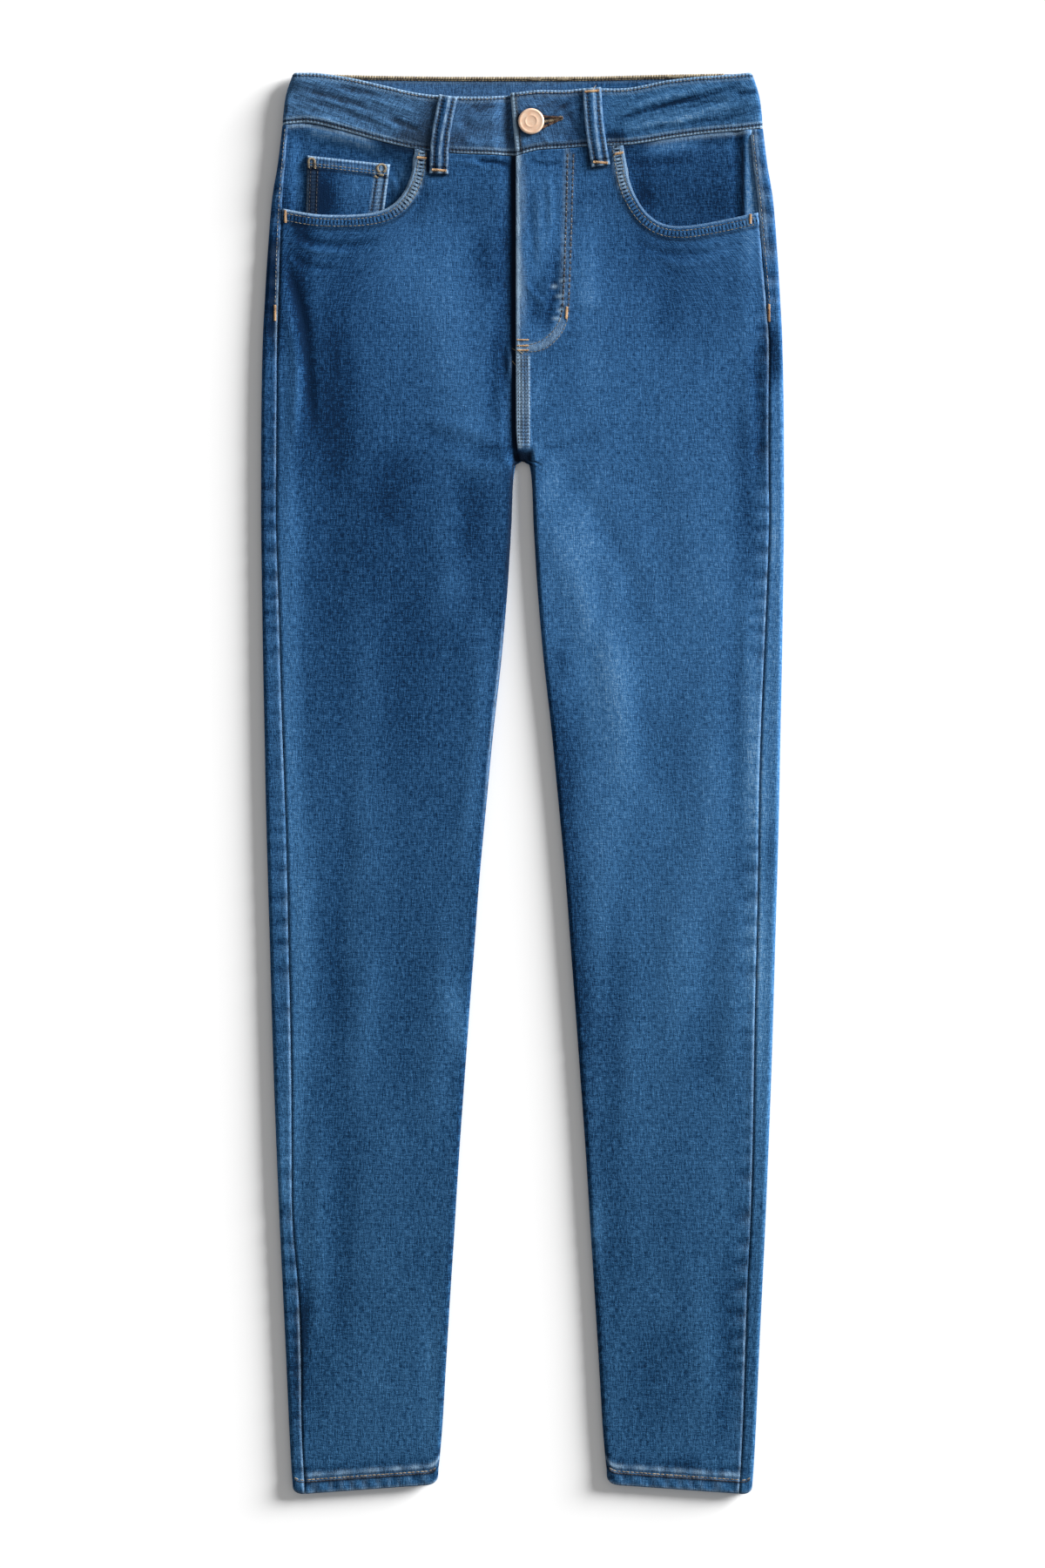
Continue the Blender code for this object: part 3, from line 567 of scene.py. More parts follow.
def hemShift(x, y):
    # the hem rises towards the inner side of the leg and round its corners
    half, outside, inside = np.abs(x), outerAt(y), innerAt(y)
    share = np.clip((outside - half) / (outside - inside), 0, 1)
    slant = cloth["hemSlant"] * share * fall(cloth["hem"], cloth["hem"] + 60, y)
    corner = cloth["hemCorner"]
    fromSide = np.minimum(outside - half, half - inside)
    turn = np.clip(1 - fromSide / corner, 0, 1)
    lift = 0.75 * corner * (1 - np.sqrt(1 - 0.98 * turn**2))
    return slant + lift * fall(cloth["hem"], cloth["hem"] + 22, y)


def hemAt(x, y):
    # how far above the hem's edge a place is, 1 on the hem, and the slanting roping of its cloth
    fromHem = np.where(y > cloth["hem"] + 40, 1000.0, y - cloth["hem"] - hemShift(x, cloth["hem"]))
    roping = np.sin(x / 1.9 + fromHem / 2.6 + 1.3 * np.sin(x / 9.0))
    return fromHem, fall(cloth["hemDepth"] - 0.8, cloth["hemDepth"] + 0.6, fromHem), roping


class WearAndShade:
    # what the points of a piece carry: wear, and painted shade and highlight; the functions that take it add
    # to it
    def __init__(self, rise, tone):
        self.rise = rise    # outwards from the plain form
        self.tone = tone    # from 0, deep blue, to 1.3, washed out; in places painted shade and highlight too
        self.pale, self.dark = 0.0, 0.0    # shares of worn white, with painted highlight in places, and of dark stitches and painted shade
        self.ladder = 0.0    # strength of the dents beside stitches
        self.run = 0.0    # the way along those stitches
        self.rows = -1.0    # 1 and 2 on the two rows of a pocket mouth
        self.crush = 0.0    # how crumpled the cloth is, on the waistband


def legTone(x, y):
    return np.where(x < 0, toneAt[-1](y), toneAt[1](y))


# the outseams: the height of the tack where each changes, and the pinches over its allowance
outseam = {"tack": 338.0, "allowance": 24.0, "pitch": 17.0, "depth": 0.85}


def outseamWearAndHighlight(wear, x, y):
    # the ditch of an outseam, its pale edge, and the pinches over the seam allowance beside it
    right, left = x < 0, x >= 0
    beyond = np.where(right, -seamAt[-1](y), seamAt[1](y)) - x     # from the seam towards the wearer's right
    wobble = 0.35 * np.sin(y / 23.0) + 0.25 * np.sin(y / 9.0 + 1.0)
    wear.rise += 0.12 * bell(np.abs(beyond) - 2.4, 1.5) - 0.55 * bell(beyond, 0.8)
    strength = 0.22 + 0.08 * np.sin(y / 41.0) + 0.07 * np.sin(y / 17.0)
    wear.pale += strength * bell(beyond - 0.9, 0.7 + 0.15 * wobble)
    wear.dark += 0.05 * bell(beyond + 0.3, 0.6)
    besidePocket = left * smooth(375, 400, y)
    wear.pale += besidePocket * (0.50 * bell(beyond + 1.2, 1.2) + 0.30 * bell(beyond + 4.4, 1.0))
    wear.dark += besidePocket * (0.55 + 0.35 * pinches(y, 3.4, 0.2)) * bell(beyond + 2.8, 0.9)
    above = smooth(outseam["tack"] - 6, outseam["tack"] + 8, y)
    weaker = np.where(right, 1 - 0.5 * smooth(4, 14, beyond), fall(5, 17, beyond))
    reach, pitch = outseam["allowance"], outseam["pitch"]
    beneath = (beyond > 0.8) * (beyond < reach) * weaker * np.where(right, 1, 1 - above)
    outside = left * (beyond < -0.8) * (beyond > -reach) * (1 - 0.4 * smooth(4, 14, -beyond)) * above
    allowance = beneath + outside
    pinch = pinches(y, pitch, 1.3) * allowance * (1 - 0.25 * smooth(-430, -340, y))
    wear.rise -= outseam["depth"] * pinch
    # a painted highlight along the lower side of each pinch
    wear.pale += 0.16 * pinches(y + 4.5, pitch, 1.3) * allowance * bell(beyond + np.where(right, 6, 4), 9)
    wear.tone += 0.08 * allowance - 0.46 * pinch
    wear.tone += 0.16 * left * (beyond < -1) * fall(300, 345, y) * smooth(-420, -200, y)
    wear.tone -= 0.10 * right * (beyond > 1) * (beyond < reach) * smooth(-60, 160, y)


def loopShade(wear, route, x, y):
    # the shade close beside a belt loop and under its end
    aside, run = nearestOn(route, x, y, 12.0)
    length = runsOf(route)[-1]
    within = smooth(0.3, 1.5, run) * fall(length - 1.5, length - 0.3, run)
    wear.dark += (0.85 * bell(aside - 7.6, 1.3) + 0.30 * bell(aside + 7.4, 0.9)) * within
    wear.tone -= 0.08 * bell(aside - 11.0, 4.0) * within
    dx, dy = x - route[0, 0], y - route[0, 1]
    wear.dark += 0.7 * bell(dy + 1.3 - 0.05 * dx, 1.2) * fall(6.5, 8.0, np.abs(dx))


def frontWearAndShade(x, y):
    # what every piece on the front shares at a place: folds, wear, and painted shade and light
    rise, tone = foldsAt(x, y)
    wear = WearAndShade(rise, tone + legTone(x, y))
    outseamWearAndHighlight(wear, x, y)
    for route in frontLoops:
        loopShade(wear, route, x, y)
    return wear


surfaces = {}    # what the stitches are laid on


def meshOf(form, name):
    mesh = bpy.data.meshes.new(name)
    form.to_mesh(mesh)
    form.free()
    mesh.shade_smooth()
    return mesh


def placed(name, mesh):
    piece = bpy.data.objects.new(name, mesh)
    bpy.context.scene.collection.objects.link(piece)
    return piece


def keepWear(mesh, wear):
    # onto the points, where the finish reads it
    for key in ("tone", "pale", "dark", "ladder", "run", "rows", "crush"):
        values = np.broadcast_to(getattr(wear, key), len(mesh.vertices)).astype(np.float32)
        mesh.attributes.new(key, "FLOAT", "POINT").data.foreach_set("value", values)


def keepGrain(mesh, points, column, row):
    # the threads' own coordinates: the way across along each row of the grid, and up
    columns = column.max()
    net = np.zeros((row.max() + 1, columns + 1, 3))
    net[row, column] = points
    steps = np.linalg.norm(np.diff(net, axis=1), axis=2)
    across = np.concatenate([np.zeros((len(net), 1)), np.cumsum(steps, axis=1)], axis=1)
    across -= across[:, [columns // 2]]
    corner = np.empty(len(mesh.loops), int)
    mesh.loops.foreach_get("vertex_index", corner)
    grain = np.stack([across[row, column], points[:, 1]], axis=1)[corner]
    mesh.uv_layers.new(name="grain").data.foreach_set("uv", grain.ravel())


def addWall(piece, wall, doubled):
    # the cloth is thickened inwards, and to nearly two layers where doubled is 1
    thicken = piece.modifiers.new("wall", "SOLIDIFY")
    thicken.thickness = wall * mm
    thicken.offset = -1.0
    if doubled is not None:
        layers = 2 * wall - 0.2
        group = piece.vertex_groups.new(name="doubled")
        for n in np.flatnonzero(doubled > 0.001):
            group.add([int(n)], float(doubled[n]), "REPLACE")
        thicken.thickness = layers * mm
        thicken.vertex_group = "doubled"
        thicken.thickness_vertex_group = wall / layers


def clothPiece(name, columns, rows, shape, wall, turnOver, hemmed=False):
    # a grid of cloth; shape gives x, y, z on its outer side, and the wear, for columns and rows
    form = bmesh.new()
    bmesh.ops.create_grid(form, x_segments=columns, y_segments=rows, size=0.5)
    if turnOver:
        bmesh.ops.reverse_faces(form, faces=form.faces)
    mesh = meshOf(form, name)
    flat = np.empty(3 * len(mesh.vertices))
    mesh.vertices.foreach_get("co", flat)
    u, v, _ = flat.reshape(-1, 3).T
    column, row = np.rint((u + 0.5) * columns).astype(int), np.rint((v + 0.5) * rows).astype(int)
    x, y, z, wear = shape(column, row)
    points = np.stack([x, y, z], axis=1) * mm
    mesh.vertices.foreach_set("co", points.ravel())
    keepWear(mesh, wear)
    keepGrain(mesh, points, column, row)
    mesh.update()
    piece = placed(name, mesh)
    addWall(piece, wall, fall(9, 12, hemAt(x, y)[0]) if hemmed else None)
    corners = [tuple(polygon.vertices) for polygon in mesh.polygons]
    surfaces[name] = BVHTree.FromPolygons([tuple(point) for point in points], corners)
    return piece


def packed(count, pull):
    # shares from 0 to 1, closer together at both ends
    u = np.linspace(0, 1, count + 1)
    return u - pull * np.sin(math.tau * u) / math.tau


def rowPlaces(stretches):
    places = [stretches[0][0]]
    for start, end, steps in stretches:
        places += list(np.linspace(start, end, steps + 1)[1:])
    return np.array(places)


# the fronts
front = {
    "turnColumns": 7,      # round the inner edge of the leg
    "flatColumns": 97,
    "hipRows": 100,
    "legRows": [(-510.0, -486.0, 24), (-486.0, 190.0, 226), (190.0, 330.0, 70)],
    "waistShare": 0.44,    # of the columns' width that ends on the waist seam, the rest on the mouth
    "mouthBand": 9.0,      # width of the turned and double-stitched mouth
    "mouthRows": (3.1, 8.1),
}
# what differs between the two mouths: how far the edge rolls, its pale rim, and where the band twists
mouthLook = {
    -1: {"roll": 0.7, "rim": 0.50, "rimWidth": 0.9, "twistFrom": 406.0},
    1: {"roll": 0.3, "rim": 0.28, "rimWidth": 0.7, "twistFrom": 418.0},
}
fly = {
    "foot": 306.0,         # where its edge ends, above the rise seam
    "turn": 334.0,         # where its straight rows turn in towards the foot
    "top": 453.0,
    "side": 40.0,          # it lies within this distance of the middle
    "knots": [(23.0, 357.0), (26.5, 350.0), (27.5, 340.0), (24.0, 334.0), (29.0, 361.0)],
}

legPlaces = rowPlaces(front["legRows"])
hipShares = packed(front["hipRows"], 0.35)
frontShares = packed(front["flatColumns"], 0.5)
frontShares[np.argmin(np.abs(frontShares - front["waistShare"]))] = front["waistShare"]


def frontEdge(side, y):
    # the free edge of a front: the inseam up the leg, then the rise
    return np.where(y < centres[0][0], side * innerAt(y), edgeAt[side](y))


def frontSeam(side, y):
    return side * (seamAt[side](y) - cloth["gap"] / 2)


def straightFront(side, column, y):
    # where the columns cross a straight row, and where its flat stretch starts
    edge, down = frontEdge(side, y), turnedAt(y)
    arc = cloth["legHeight"] / 2 * math.pi / 2
    t = np.clip(column / front["turnColumns"], 0, 1)
    radius = (topAt(y) - floorAt(y)) / 2
    turning = mixed(edge + side * arc * t, edge + side * radius * (1 - np.cos(t * math.pi / 2)), down)
    start = edge + side * mixed(arc, cloth["legHeight"] / 2, down)
    across = frontShares[np.clip(column - front["turnColumns"], 0, None)]
    flat = mixed(start, frontSeam(side, y), across)
    return np.where(column <= front["turnColumns"], turning, flat), start


def hipSpots(side, column, row):
    # above the hip each column runs to the waist seam or the pocket mouth
    mouth, hip, waistShare = mouthRoutes[side], cloth["hip"], front["waistShare"]
    mouthRuns = runsOf(mouth)
    across = frontShares[np.clip(column - front["turnColumns"], 0, None)]
    onMouth = across > waistShare
    lowX, lowStart = straightFront(side, column, hip)
    toWaist = mixed(lowStart, mouth[0, 0], across / waistShare)
    toWaist = np.where(column <= front["turnColumns"], lowX, toWaist)
    place = (across - waistShare) / (1 - waistShare) * mouthRuns[-1]
    endX = np.where(onMouth, np.interp(place, mouthRuns, mouth[:, 0]), toWaist)
    waistY = waistAt[side](endX) - cloth["waistGap"]
    mouthY = np.interp(place, mouthRuns, mouth[:, 1])
    endY = np.where(onMouth, np.minimum(mouthY, waistY), waistY)
    up = hipShares[np.clip(row - (len(legPlaces) - 1), 0, None)]
    x, y = mixed(lowX, endX, up), mixed(hip, endY, up)
    # the outermost columns follow the outseam, and none crosses it
    seam = frontSeam(side, y)
    x += (seam - mixed(frontSeam(side, hip), frontSeam(side, endY), up)) * smooth(0.8, 1.0, across)
    x = np.where(across > 0.9999, seam, side * np.minimum(side * x, side * seam))
    return x, y, onMouth


def frontSpots(side, column, row):
    y = legPlaces[np.minimum(row, len(legPlaces) - 1)]
    x, _ = straightFront(side, column, y)
    y = y + hemShift(x, y)
    hipX, hipY, onMouth = hipSpots(side, column, row)
    above = row >= len(legPlaces)
    return np.where(above, hipX, x), np.where(above, hipY, y), onMouth


def mouthWearAndShade(wear, side, x, y, onMouth):
    # the pocket mouth: a raised, double-stitched band with a rolled edge
    look, width, (outerRow, innerRow) = mouthLook[side], front["mouthBand"], front["mouthRows"]
    aside, run = nearestOn(mouthRoutes[side], x, y, 14.0)
    atMouth = onMouth | (np.abs(x) > abs(mouthRoutes[side][0, 0]) - 12)
    inBand = np.where(atMouth & (y > 380), np.abs(aside), 1000.0)
    raised = fall(width - 1.2, width + 0.8, inBand)
    wear.rise += 0.6 * raised - look["roll"] * fall(0, 1.5, inBand)
    wear.rise -= 0.22 * (bell(inBand - outerRow, 0.7) + bell(inBand - innerRow, 0.7))
    wear.tone += 0.10 * raised
    wear.pale += look["rim"] * bell(inBand - 0.8, look["rimWidth"])
    # painted shade along the inner side of the raised band
    wear.dark += 0.55 * bell(inBand - width - 1.2, 1.1)
    wear.rows = np.clip(2 - (inBand - outerRow) / (innerRow - outerRow), -1, 3)
    wear.run = run
    # towards the waist the band twists, with pale worn knots and painted shade in the dents between them
    upright = raised * smooth(look["twistFrom"], look["twistFrom"] + 14, y)
    knots = pinches(run + 1.3 * np.sin(0.9 * inBand + run / 7.0), 3.9, 0.6)
    wear.pale += upright * (0.70 * (1 - knots) * bell(inBand - 5.6, 3.0) + 0.20)
    wear.dark += 0.85 * upright * knots * bell(inBand - 5.2, 2.4)
    wear.rise -= 0.35 * upright * knots * bell(inBand - 5.6, 2.6)


def frontHemWearAndShade(wear, x, y):
    # turned up once more, with its puckers, and painted shade along both sides of its stitches
    fromHem, onHem, roping = hemAt(x, y)
    wear.rise += 0.5 * onHem - 0.6 * fall(0, 1.8, fromHem) - 0.3 * bell(fromHem - 10.0, 0.9)
    wear.rise += 0.16 * roping * onHem + 0.20 * pinches(x, 8.0, 2.0) * bell(fromHem - 13.0, 3.0)
    wear.tone += (0.02 + 0.09 * roping) * onHem
    wear.tone += (0.62 * pinches(x, 11.0, 0.7) - 0.10) * bell(fromHem - 13.0, 2.2)
    wear.tone -= (0.08 + 0.22 * pinches(x + 6, 14.0, 1.9)) * bell(fromHem - 17.5, 3.0)
    wear.tone -= 0.20 * pinches(x + 3, 12.5, 2.2) * bell(fromHem - 5.5, 3.0)
    wear.pale += (0.16 + 0.58 * pinches(x, 19.0, 2.7) ** 0.5) * bell(fromHem - 13.4, 1.7)
    wear.pale += 0.12 * pinches(x, 9.5, 0.3) * onHem + 0.30 * bell(fromHem - 0.6, 0.9)
    wear.dark += 0.97 * bell(fromHem - 8.2, 1.0) + 0.50 * bell(fromHem - 11.5, 0.7)


def inseamPinchesAndShade(wear, side, y, fromEdge):
    # short pinches low on the inseam, painted shade where it turns down, a painted highlight along the right
    # leg's edge and painted shade inside the left leg's edge
    down, pinchEnd = turnedAt(y), -90 if side < 0 else -170
    pinch = pinches(y, 10.5, 0.4 + side) * fall(1.0, 6.0, fromEdge)
    pinch *= fall(pinchEnd, pinchEnd + 80, y)
    wear.rise -= 0.8 * pinch
    wear.tone -= 0.34 * pinch + 0.16 * fall(0, 7, fromEdge) * down
    shade = 0.90 if side < 0 else 0.50
    wear.dark += shade * fall(1.0, 4.5, fromEdge) * down * smooth(110, 160, y)
    if side < 0:
        knee = smooth(-60, 40, y) * fall(90, 130, y)
        # a painted highlight along the right leg's turned edge
        wear.pale += 0.26 * bell(fromEdge - 1.3, 0.8) * down * knee
    else:
        knee = smooth(-300, -210, y) * fall(40, 110, y)
        # painted shade in a band along the left leg's inner edge
        wear.tone -= (0.08 + 0.26 * smooth(-230, -150, y)) * bell(fromEdge - 5, 9) * knee


def crotchHollowAndShade(wear, x, y):
    # a deep hollow where the inseams meet the rise, with painted shade in it
    half = np.abs(x)
    wear.rise -= 2.2 * fall(5.5, 9.0, half) * fall(233, 243, y) * smooth(216, 228, y)
    wear.dark += 0.97 * fall(5.6, 7.8, half) * fall(237, 242, y) * smooth(224, 227, y)


def underFlyDipAndShade(wear, x, y):
    # the right front dips under the fly's edge and lies in its shade
    lap, aboveCrotch = edgeAt[1](y) - 1.5, y > cloth["crotch"]
    wear.rise -= cloth["flyDip"] * smooth(lap - cloth["flyEase"], lap, x) * aboveCrotch
    wear.tone -= 0.10 * smooth(lap - 8, lap, x) * aboveCrotch
    wear.dark += 0.5 * smooth(lap - 2.4, lap - 0.8, x) * (y > 238)
    wear.dark += 0.24 * smooth(lap - 10, lap - 3, x) * (y > 240) * (0.85 + 0.15 * np.sin(y / 13.0))
    wear.dark += 0.40 * smooth(lap - 3.6, lap - 1.6, x) * (y > 240)
    # a pinch beside the foot of the fly, with a painted highlight on its ridge and painted shade beside it
    wear.rise += 0.9 * bell(x + 8.6, 2.2) * bell(y - 300, 10) - 0.8 * bell(x + 13.5, 2.6) * bell(y - 302, 14)
    wear.tone += 0.40 * bell(x + 8.2, 1.8) * bell(y - 301, 8) - 0.40 * bell(x + 13, 2.6) * bell(y - 298, 16)
    wear.pale += 0.35 * bell(x + 7.8, 1.1) * bell(y - 301, 6)


def flyRowsWear(wear, x, y, aside, run):
    # between the two curved rows: paler cloth, with dark blotches up the straight stretch
    rows = smooth(-5.2, -4.0, aside) * fall(0.2, 1.4, aside)
    straight = smooth(fly["turn"] - 4, fly["turn"] + 8, y) * (y < fly["top"]) * (x < fly["side"] + 8)
    blotches = pinches(run, 4.4, 0.5) * bell(aside + 0.2, 1.5)
    blotches += pinches(run + 2, 4.7, 1.7) * bell(aside + 4.4, 1.5)
    wear.tone -= 0.06 * rows
    wear.dark += straight * blotches + 0.12 * rows
    wear.pale += straight * 0.12 * bell(aside + 2.2, 2.8) * (1 - blotches)
    wear.pale += 0.45 * rows * fall(fly["turn"] - 8, fly["turn"] + 2, y) * bell(aside + 2.2, 1.8)
    wear.pale += 0.30 * rows * (0.5 + 0.5 * np.sin(run / 1.9)) * (aside < -3.4)


def flyFootWear(wear, x, y):
    # puckers and pale knots where the rows turn in
    pucker = pinches(y, 8.5, 2.1) * bell(x - 26, 6.5) * bell(y - 341, 13)
    wear.rise -= 0.7 * pucker
    wear.tone += 0.30 * bell(x - 27, 4) * bell(y - 342, 12) - 0.5 * pucker
    for across, up in fly["knots"]:
        wear.pale += 0.85 * bell(x - across, 2.0) * bell(y - up, 1.2)
        wear.dark += 0.60 * bell(x - across - 0.6, 2.4) * bell(y - up - 2.8, 1.0)


def riseWear(wear, x, y):
    # the felled rise seam below the fly
    onSeam = smooth(239, 244, y) * fall(fly["foot"], fly["foot"] + 3, y) * fall(4.6, 6.0, x)
    wear.rise += 0.35 * onSeam
    wear.pale += onSeam * (0.34 + 0.10 * np.sin(y / 7.0) + 0.40 * (bell(x + 3.6, 1.0) + bell(x - 4.8, 0.9)))
    ditches = 0.45 * (bell(x + 1.4, 0.8) + bell(x - 2.4, 0.8))
    wear.dark += onSeam * (ditches + 0.30 * pinches(y, 3.1, 0.8) * bell(x, 3.0))
    wear.ladder = onSeam
    wear.run = np.where(onSeam > 0.01, y, wear.run)


def flyWear(wear, x, y, fromEdge):
    # the fly: lifted inside its curved stitching, with a rolled, folded edge
    aside, run = nearestOn(flyOuter, x, y, 46.0)
    aboveFoot = y > fly["foot"]
    within = aboveFoot * (x < fly["side"])
    inFly = fall(-1.6, 1.2, aside) * within
    wear.rise += 0.45 * inFly - 0.25 * (y > cloth["crotch"]) * fall(0, 1.6, fromEdge)
    wear.tone += 0.10 * inFly * fall(430, 452, y)
    wear.tone += 0.14 * bell(x - 10, 5) * bell(y - 380, 50) - 0.20 * bell(x - 19, 4.5) * bell(y - 345, 34)
    roll = 0.90 + 0.14 * np.sin(y / 9.0) + 0.16 * np.sin(y / 3.7)
    wear.pale += roll * bell(fromEdge - 1.5, 1.8 + 0.4 * np.sin(y / 14.0)) * (y > 240)
    wear.pale += (0.12 + 0.10 * np.sin(y / 11.0 + 1)) * bell(fromEdge - 5.0, 2.6) * aboveFoot
    wear.pale += 0.25 * bell(aside + 5.6, 1.0) * within
    flyRowsWear(wear, x, y, aside, run)
    flyFootWear(wear, x, y)
    wear.run = np.where((x < fly["side"] + 8) & (y > fly["foot"] - 18), run, wear.run)
    riseWear(wear, x, y)


def frontPanel(side):
    def shape(column, row):
        x, y, onMouth = frontSpots(side, column, row)
        fromEdge = np.abs(x - frontEdge(side, y))
        wear = frontWearAndShade(x, y)
        mouthWearAndShade(wear, side, x, y, onMouth)
        frontHemWearAndShade(wear, x, y)
        inseamPinchesAndShade(wear, side, y, fromEdge)
        crotchHollowAndShade(wear, x, y)
        if side < 0:
            underFlyDipAndShade(wear, x, y)
        else:
            flyWear(wear, x, y, fromEdge)
        # the inner edge turns down to meet the back halfway
        top, middle = topAt(y) + wear.rise, (topAt(y) + floorAt(y) + seamGapAt(y)) / 2
        angle = np.clip(column / front["turnColumns"], 0, 1) * math.pi / 2
        turned = mixed(top, mixed(middle, top, np.sin(angle)), turnedAt(y))
        return x, y, np.where(column <= front["turnColumns"], turned, top), wear

    columns, rows = front["turnColumns"] + front["flatColumns"], len(legPlaces) - 1 + front["hipRows"]
    return clothPiece("denim_front_" + words[side], columns, rows, shape, cloth["wall"], side < 0, True)


# the backs, which come round the outer fold to the outseam on top
back = {
    "turnColumns": 6,      # round the inner edge of the leg
    "flatColumns": 40,
    "foldColumns": 12,
    "wrapColumns": 10,
    "rows": [(-510.0, -486.0, 20), (-486.0, 436.0, 330)],
    "waistRows": 16,
}
# across, up, direction, half length, half width, how far up the underside rises, tone
backFolds = [
    (-96, 180, 84, 120, 14, 0.5, -0.10),
    (-60, 120, 70, 90, 10, 0.4, 0.08),
    (-130, 40, 88, 160, 12, 0.4, -0.08),
    (-100, -180, 88, 140, 14, 0.4, 0.07),
    (-126, -340, 86, 110, 9, 0.4, -0.09),
    (-40, 238, 24, 46, 7, 0.6, -0.14),
    (-48, 222, 18, 40, 6, 0.5, -0.10),
    (88, 170, -82, 120, 15, 0.5, -0.10),
    (54, 110, -72, 90, 10, 0.4, 0.08),
    (136, 10, 90, 150, 11, 0.4, -0.08),
    (104, -200, 88, 140, 13, 0.4, 0.07),
    (120, -360, 88, 100, 10, 0.4, -0.08),
    (42, 236, -22, 44, 7, 0.6, -0.14),
    (50, 220, -18, 42, 6, 0.5, -0.10),
    (-70, 380, 40, 60, 16, 0.3, 0.06),
    (76, 376, -42, 60, 16, 0.3, 0.06),
]
backPlaces = rowPlaces(back["rows"])
backShares = packed(back["flatColumns"], 0.3)
foldFrom = back["turnColumns"] + back["flatColumns"]
wrapFrom = foldFrom + back["foldColumns"]


def undersideAt(x, y):
    # rise and tone of the soft creases underneath
    rise, tone = np.zeros(x.shape), np.zeros(x.shape)
    for across, up, turn, reach, spread, height, shade in backFolds:
        weight = patchWeight(x - across, y - up, turn, reach, spread)
        rise += height * weight
        tone += shade * weight
    return rise, tone


def straightBack(side, column, y):
    # a straight row: flat underneath, round the outer fold, and over to the outseam on top;
    # the angle is 0 underneath and half a turn on top
    low, high, down = floorAt(y), topAt(y), turnedAt(y)
    radius = (high - low) / 2
    arc = radius * math.pi / 2
    inside = np.where(y < centres[0][0], innerAt(y), edgeBackAt(y))
    t = np.clip(column / back["turnColumns"], 0, 1)
    turning = mixed(inside + arc * t, inside + radius * (1 - np.cos(t * math.pi / 2)), down)
    turningZ = mixed(low, low + (radius - seamGapAt(y) / 2) * (1 - np.sin(t * math.pi / 2)), down)
    start, flatEnd = inside + mixed(arc, radius, down), outerAt(y) - radius
    flat = backShares[np.clip(column - back["turnColumns"], 0, back["flatColumns"])]
    angle = np.clip((column - foldFrom) / back["foldColumns"], 0, 1) * math.pi
    wrap = np.clip((column - wrapFrom) / back["wrapColumns"], 0, 1)
    onWrap = mixed(flatEnd, seamAt[side](y) + cloth["gap"] / 2, wrap)
    onFold, foldZ = flatEnd + radius * np.sin(angle), low + radius * (1 - np.cos(angle))
    stretches = [column <= back["turnColumns"], column <= foldFrom, column <= wrapFrom]
    x = np.select(stretches, [turning, mixed(start, flatEnd, flat), onFold], onWrap)
    return side * x, np.select(stretches, [turningZ, low, foldZ], high), angle


def backSpots(side, column, row):
    y = backPlaces[np.minimum(row, len(backPlaces) - 1)]
    x, _, _ = straightBack(side, column, y)
    # the last rows run up to the waist seam, which differs between back, side fold and front
    sideSeam = bandRight[0][2] if side < 0 else bandLeft[-1][2]
    share = (column - foldFrom) / back["foldColumns"]
    waistY = np.where(share <= 0, waistBackAt(x), waistAt[side](x))
    waistY = np.where((share > 0) & (share <= 1), mixed(bandBack[0][2], sideSeam, share), waistY)
    up = np.clip(row - (len(backPlaces) - 1), 0, None) / back["waistRows"]
    y = np.where(row >= len(backPlaces), mixed(backPlaces[-1], waistY - cloth["waistGap"], up), y)
    x, z, angle = straightBack(side, column, y)
    return x, y + hemShift(x, y), z, angle


def backHemWear(wear, x, y, onTop):
    fromHem, onHem, roping = hemAt(x, y)
    edge = fall(0, 1.8, fromHem)
    wear.rise += (0.5 * onHem - 0.6 * edge + 0.1 * roping * onHem) * onTop
    wear.rise += (0.5 * edge + 0.12 * (1 + roping) * onHem) * (1 - onTop)
    wear.tone += 0.10 * roping * onHem + (0.34 * pinches(x, 7.0, 0.7) - 0.05) * bell(fromHem - 12.6, 1.8)
    wear.pale += 0.25 * bell(fromHem - 0.6, 0.9)


def backWearAndShade(side, x, y, angle, awayFromEdge):
    # the front's wear and painted shade on top, plainer cloth with a felled centre seam underneath
    wear, onTop, half = frontWearAndShade(x, y), (1 - np.cos(angle)) / 2, np.abs(x)
    below, belowTone = undersideAt(x, y)
    wear.tone = mixed(0.5 * legTone(x, y) + 0.25 + belowTone, wear.tone, onTop)
    wear.rise *= onTop
    wear.pale *= onTop
    wear.dark *= onTop
    wear.rise += np.maximum(below, 0) * np.clip(1 - angle / math.pi * 2, 0, 1) * awayFromEdge
    atCentre = (y > 240) & (angle == 0)
    fell = fall(7.6, 9.0, half) * atCentre
    wear.rise += 0.25 * fall(0, 1.2, half) * atCentre
    wear.pale += 0.35 * fell * bell(half - 1.0, 1.2)
    wear.ladder, wear.run = 0.7 * fell, y
    onEdge = fall(1.0, 6.0, np.abs(half - innerAt(y)))
    pinch = pinches(y, 10.5, 0.9 + side) * onEdge * (y < 180) * (1 - onTop)
    wear.rise += 0.4 * pinch
    wear.tone -= 0.25 * pinch
    backHemWear(wear, x, y, onTop)
    return wear


def backPanel(side):
    def shape(column, row):
        x, y, z, angle = backSpots(side, column, row)
        wear = backWearAndShade(side, x, y, angle, np.clip(column / back["turnColumns"], 0, 1))
        return x, y, z + wear.rise, wear

    columns, rows = wrapFrom + back["wrapColumns"], len(backPlaces) - 1 + back["waistRows"]
    return clothPiece("denim_back_" + words[side], columns, rows, shape, cloth["wall"], side > 0, True)


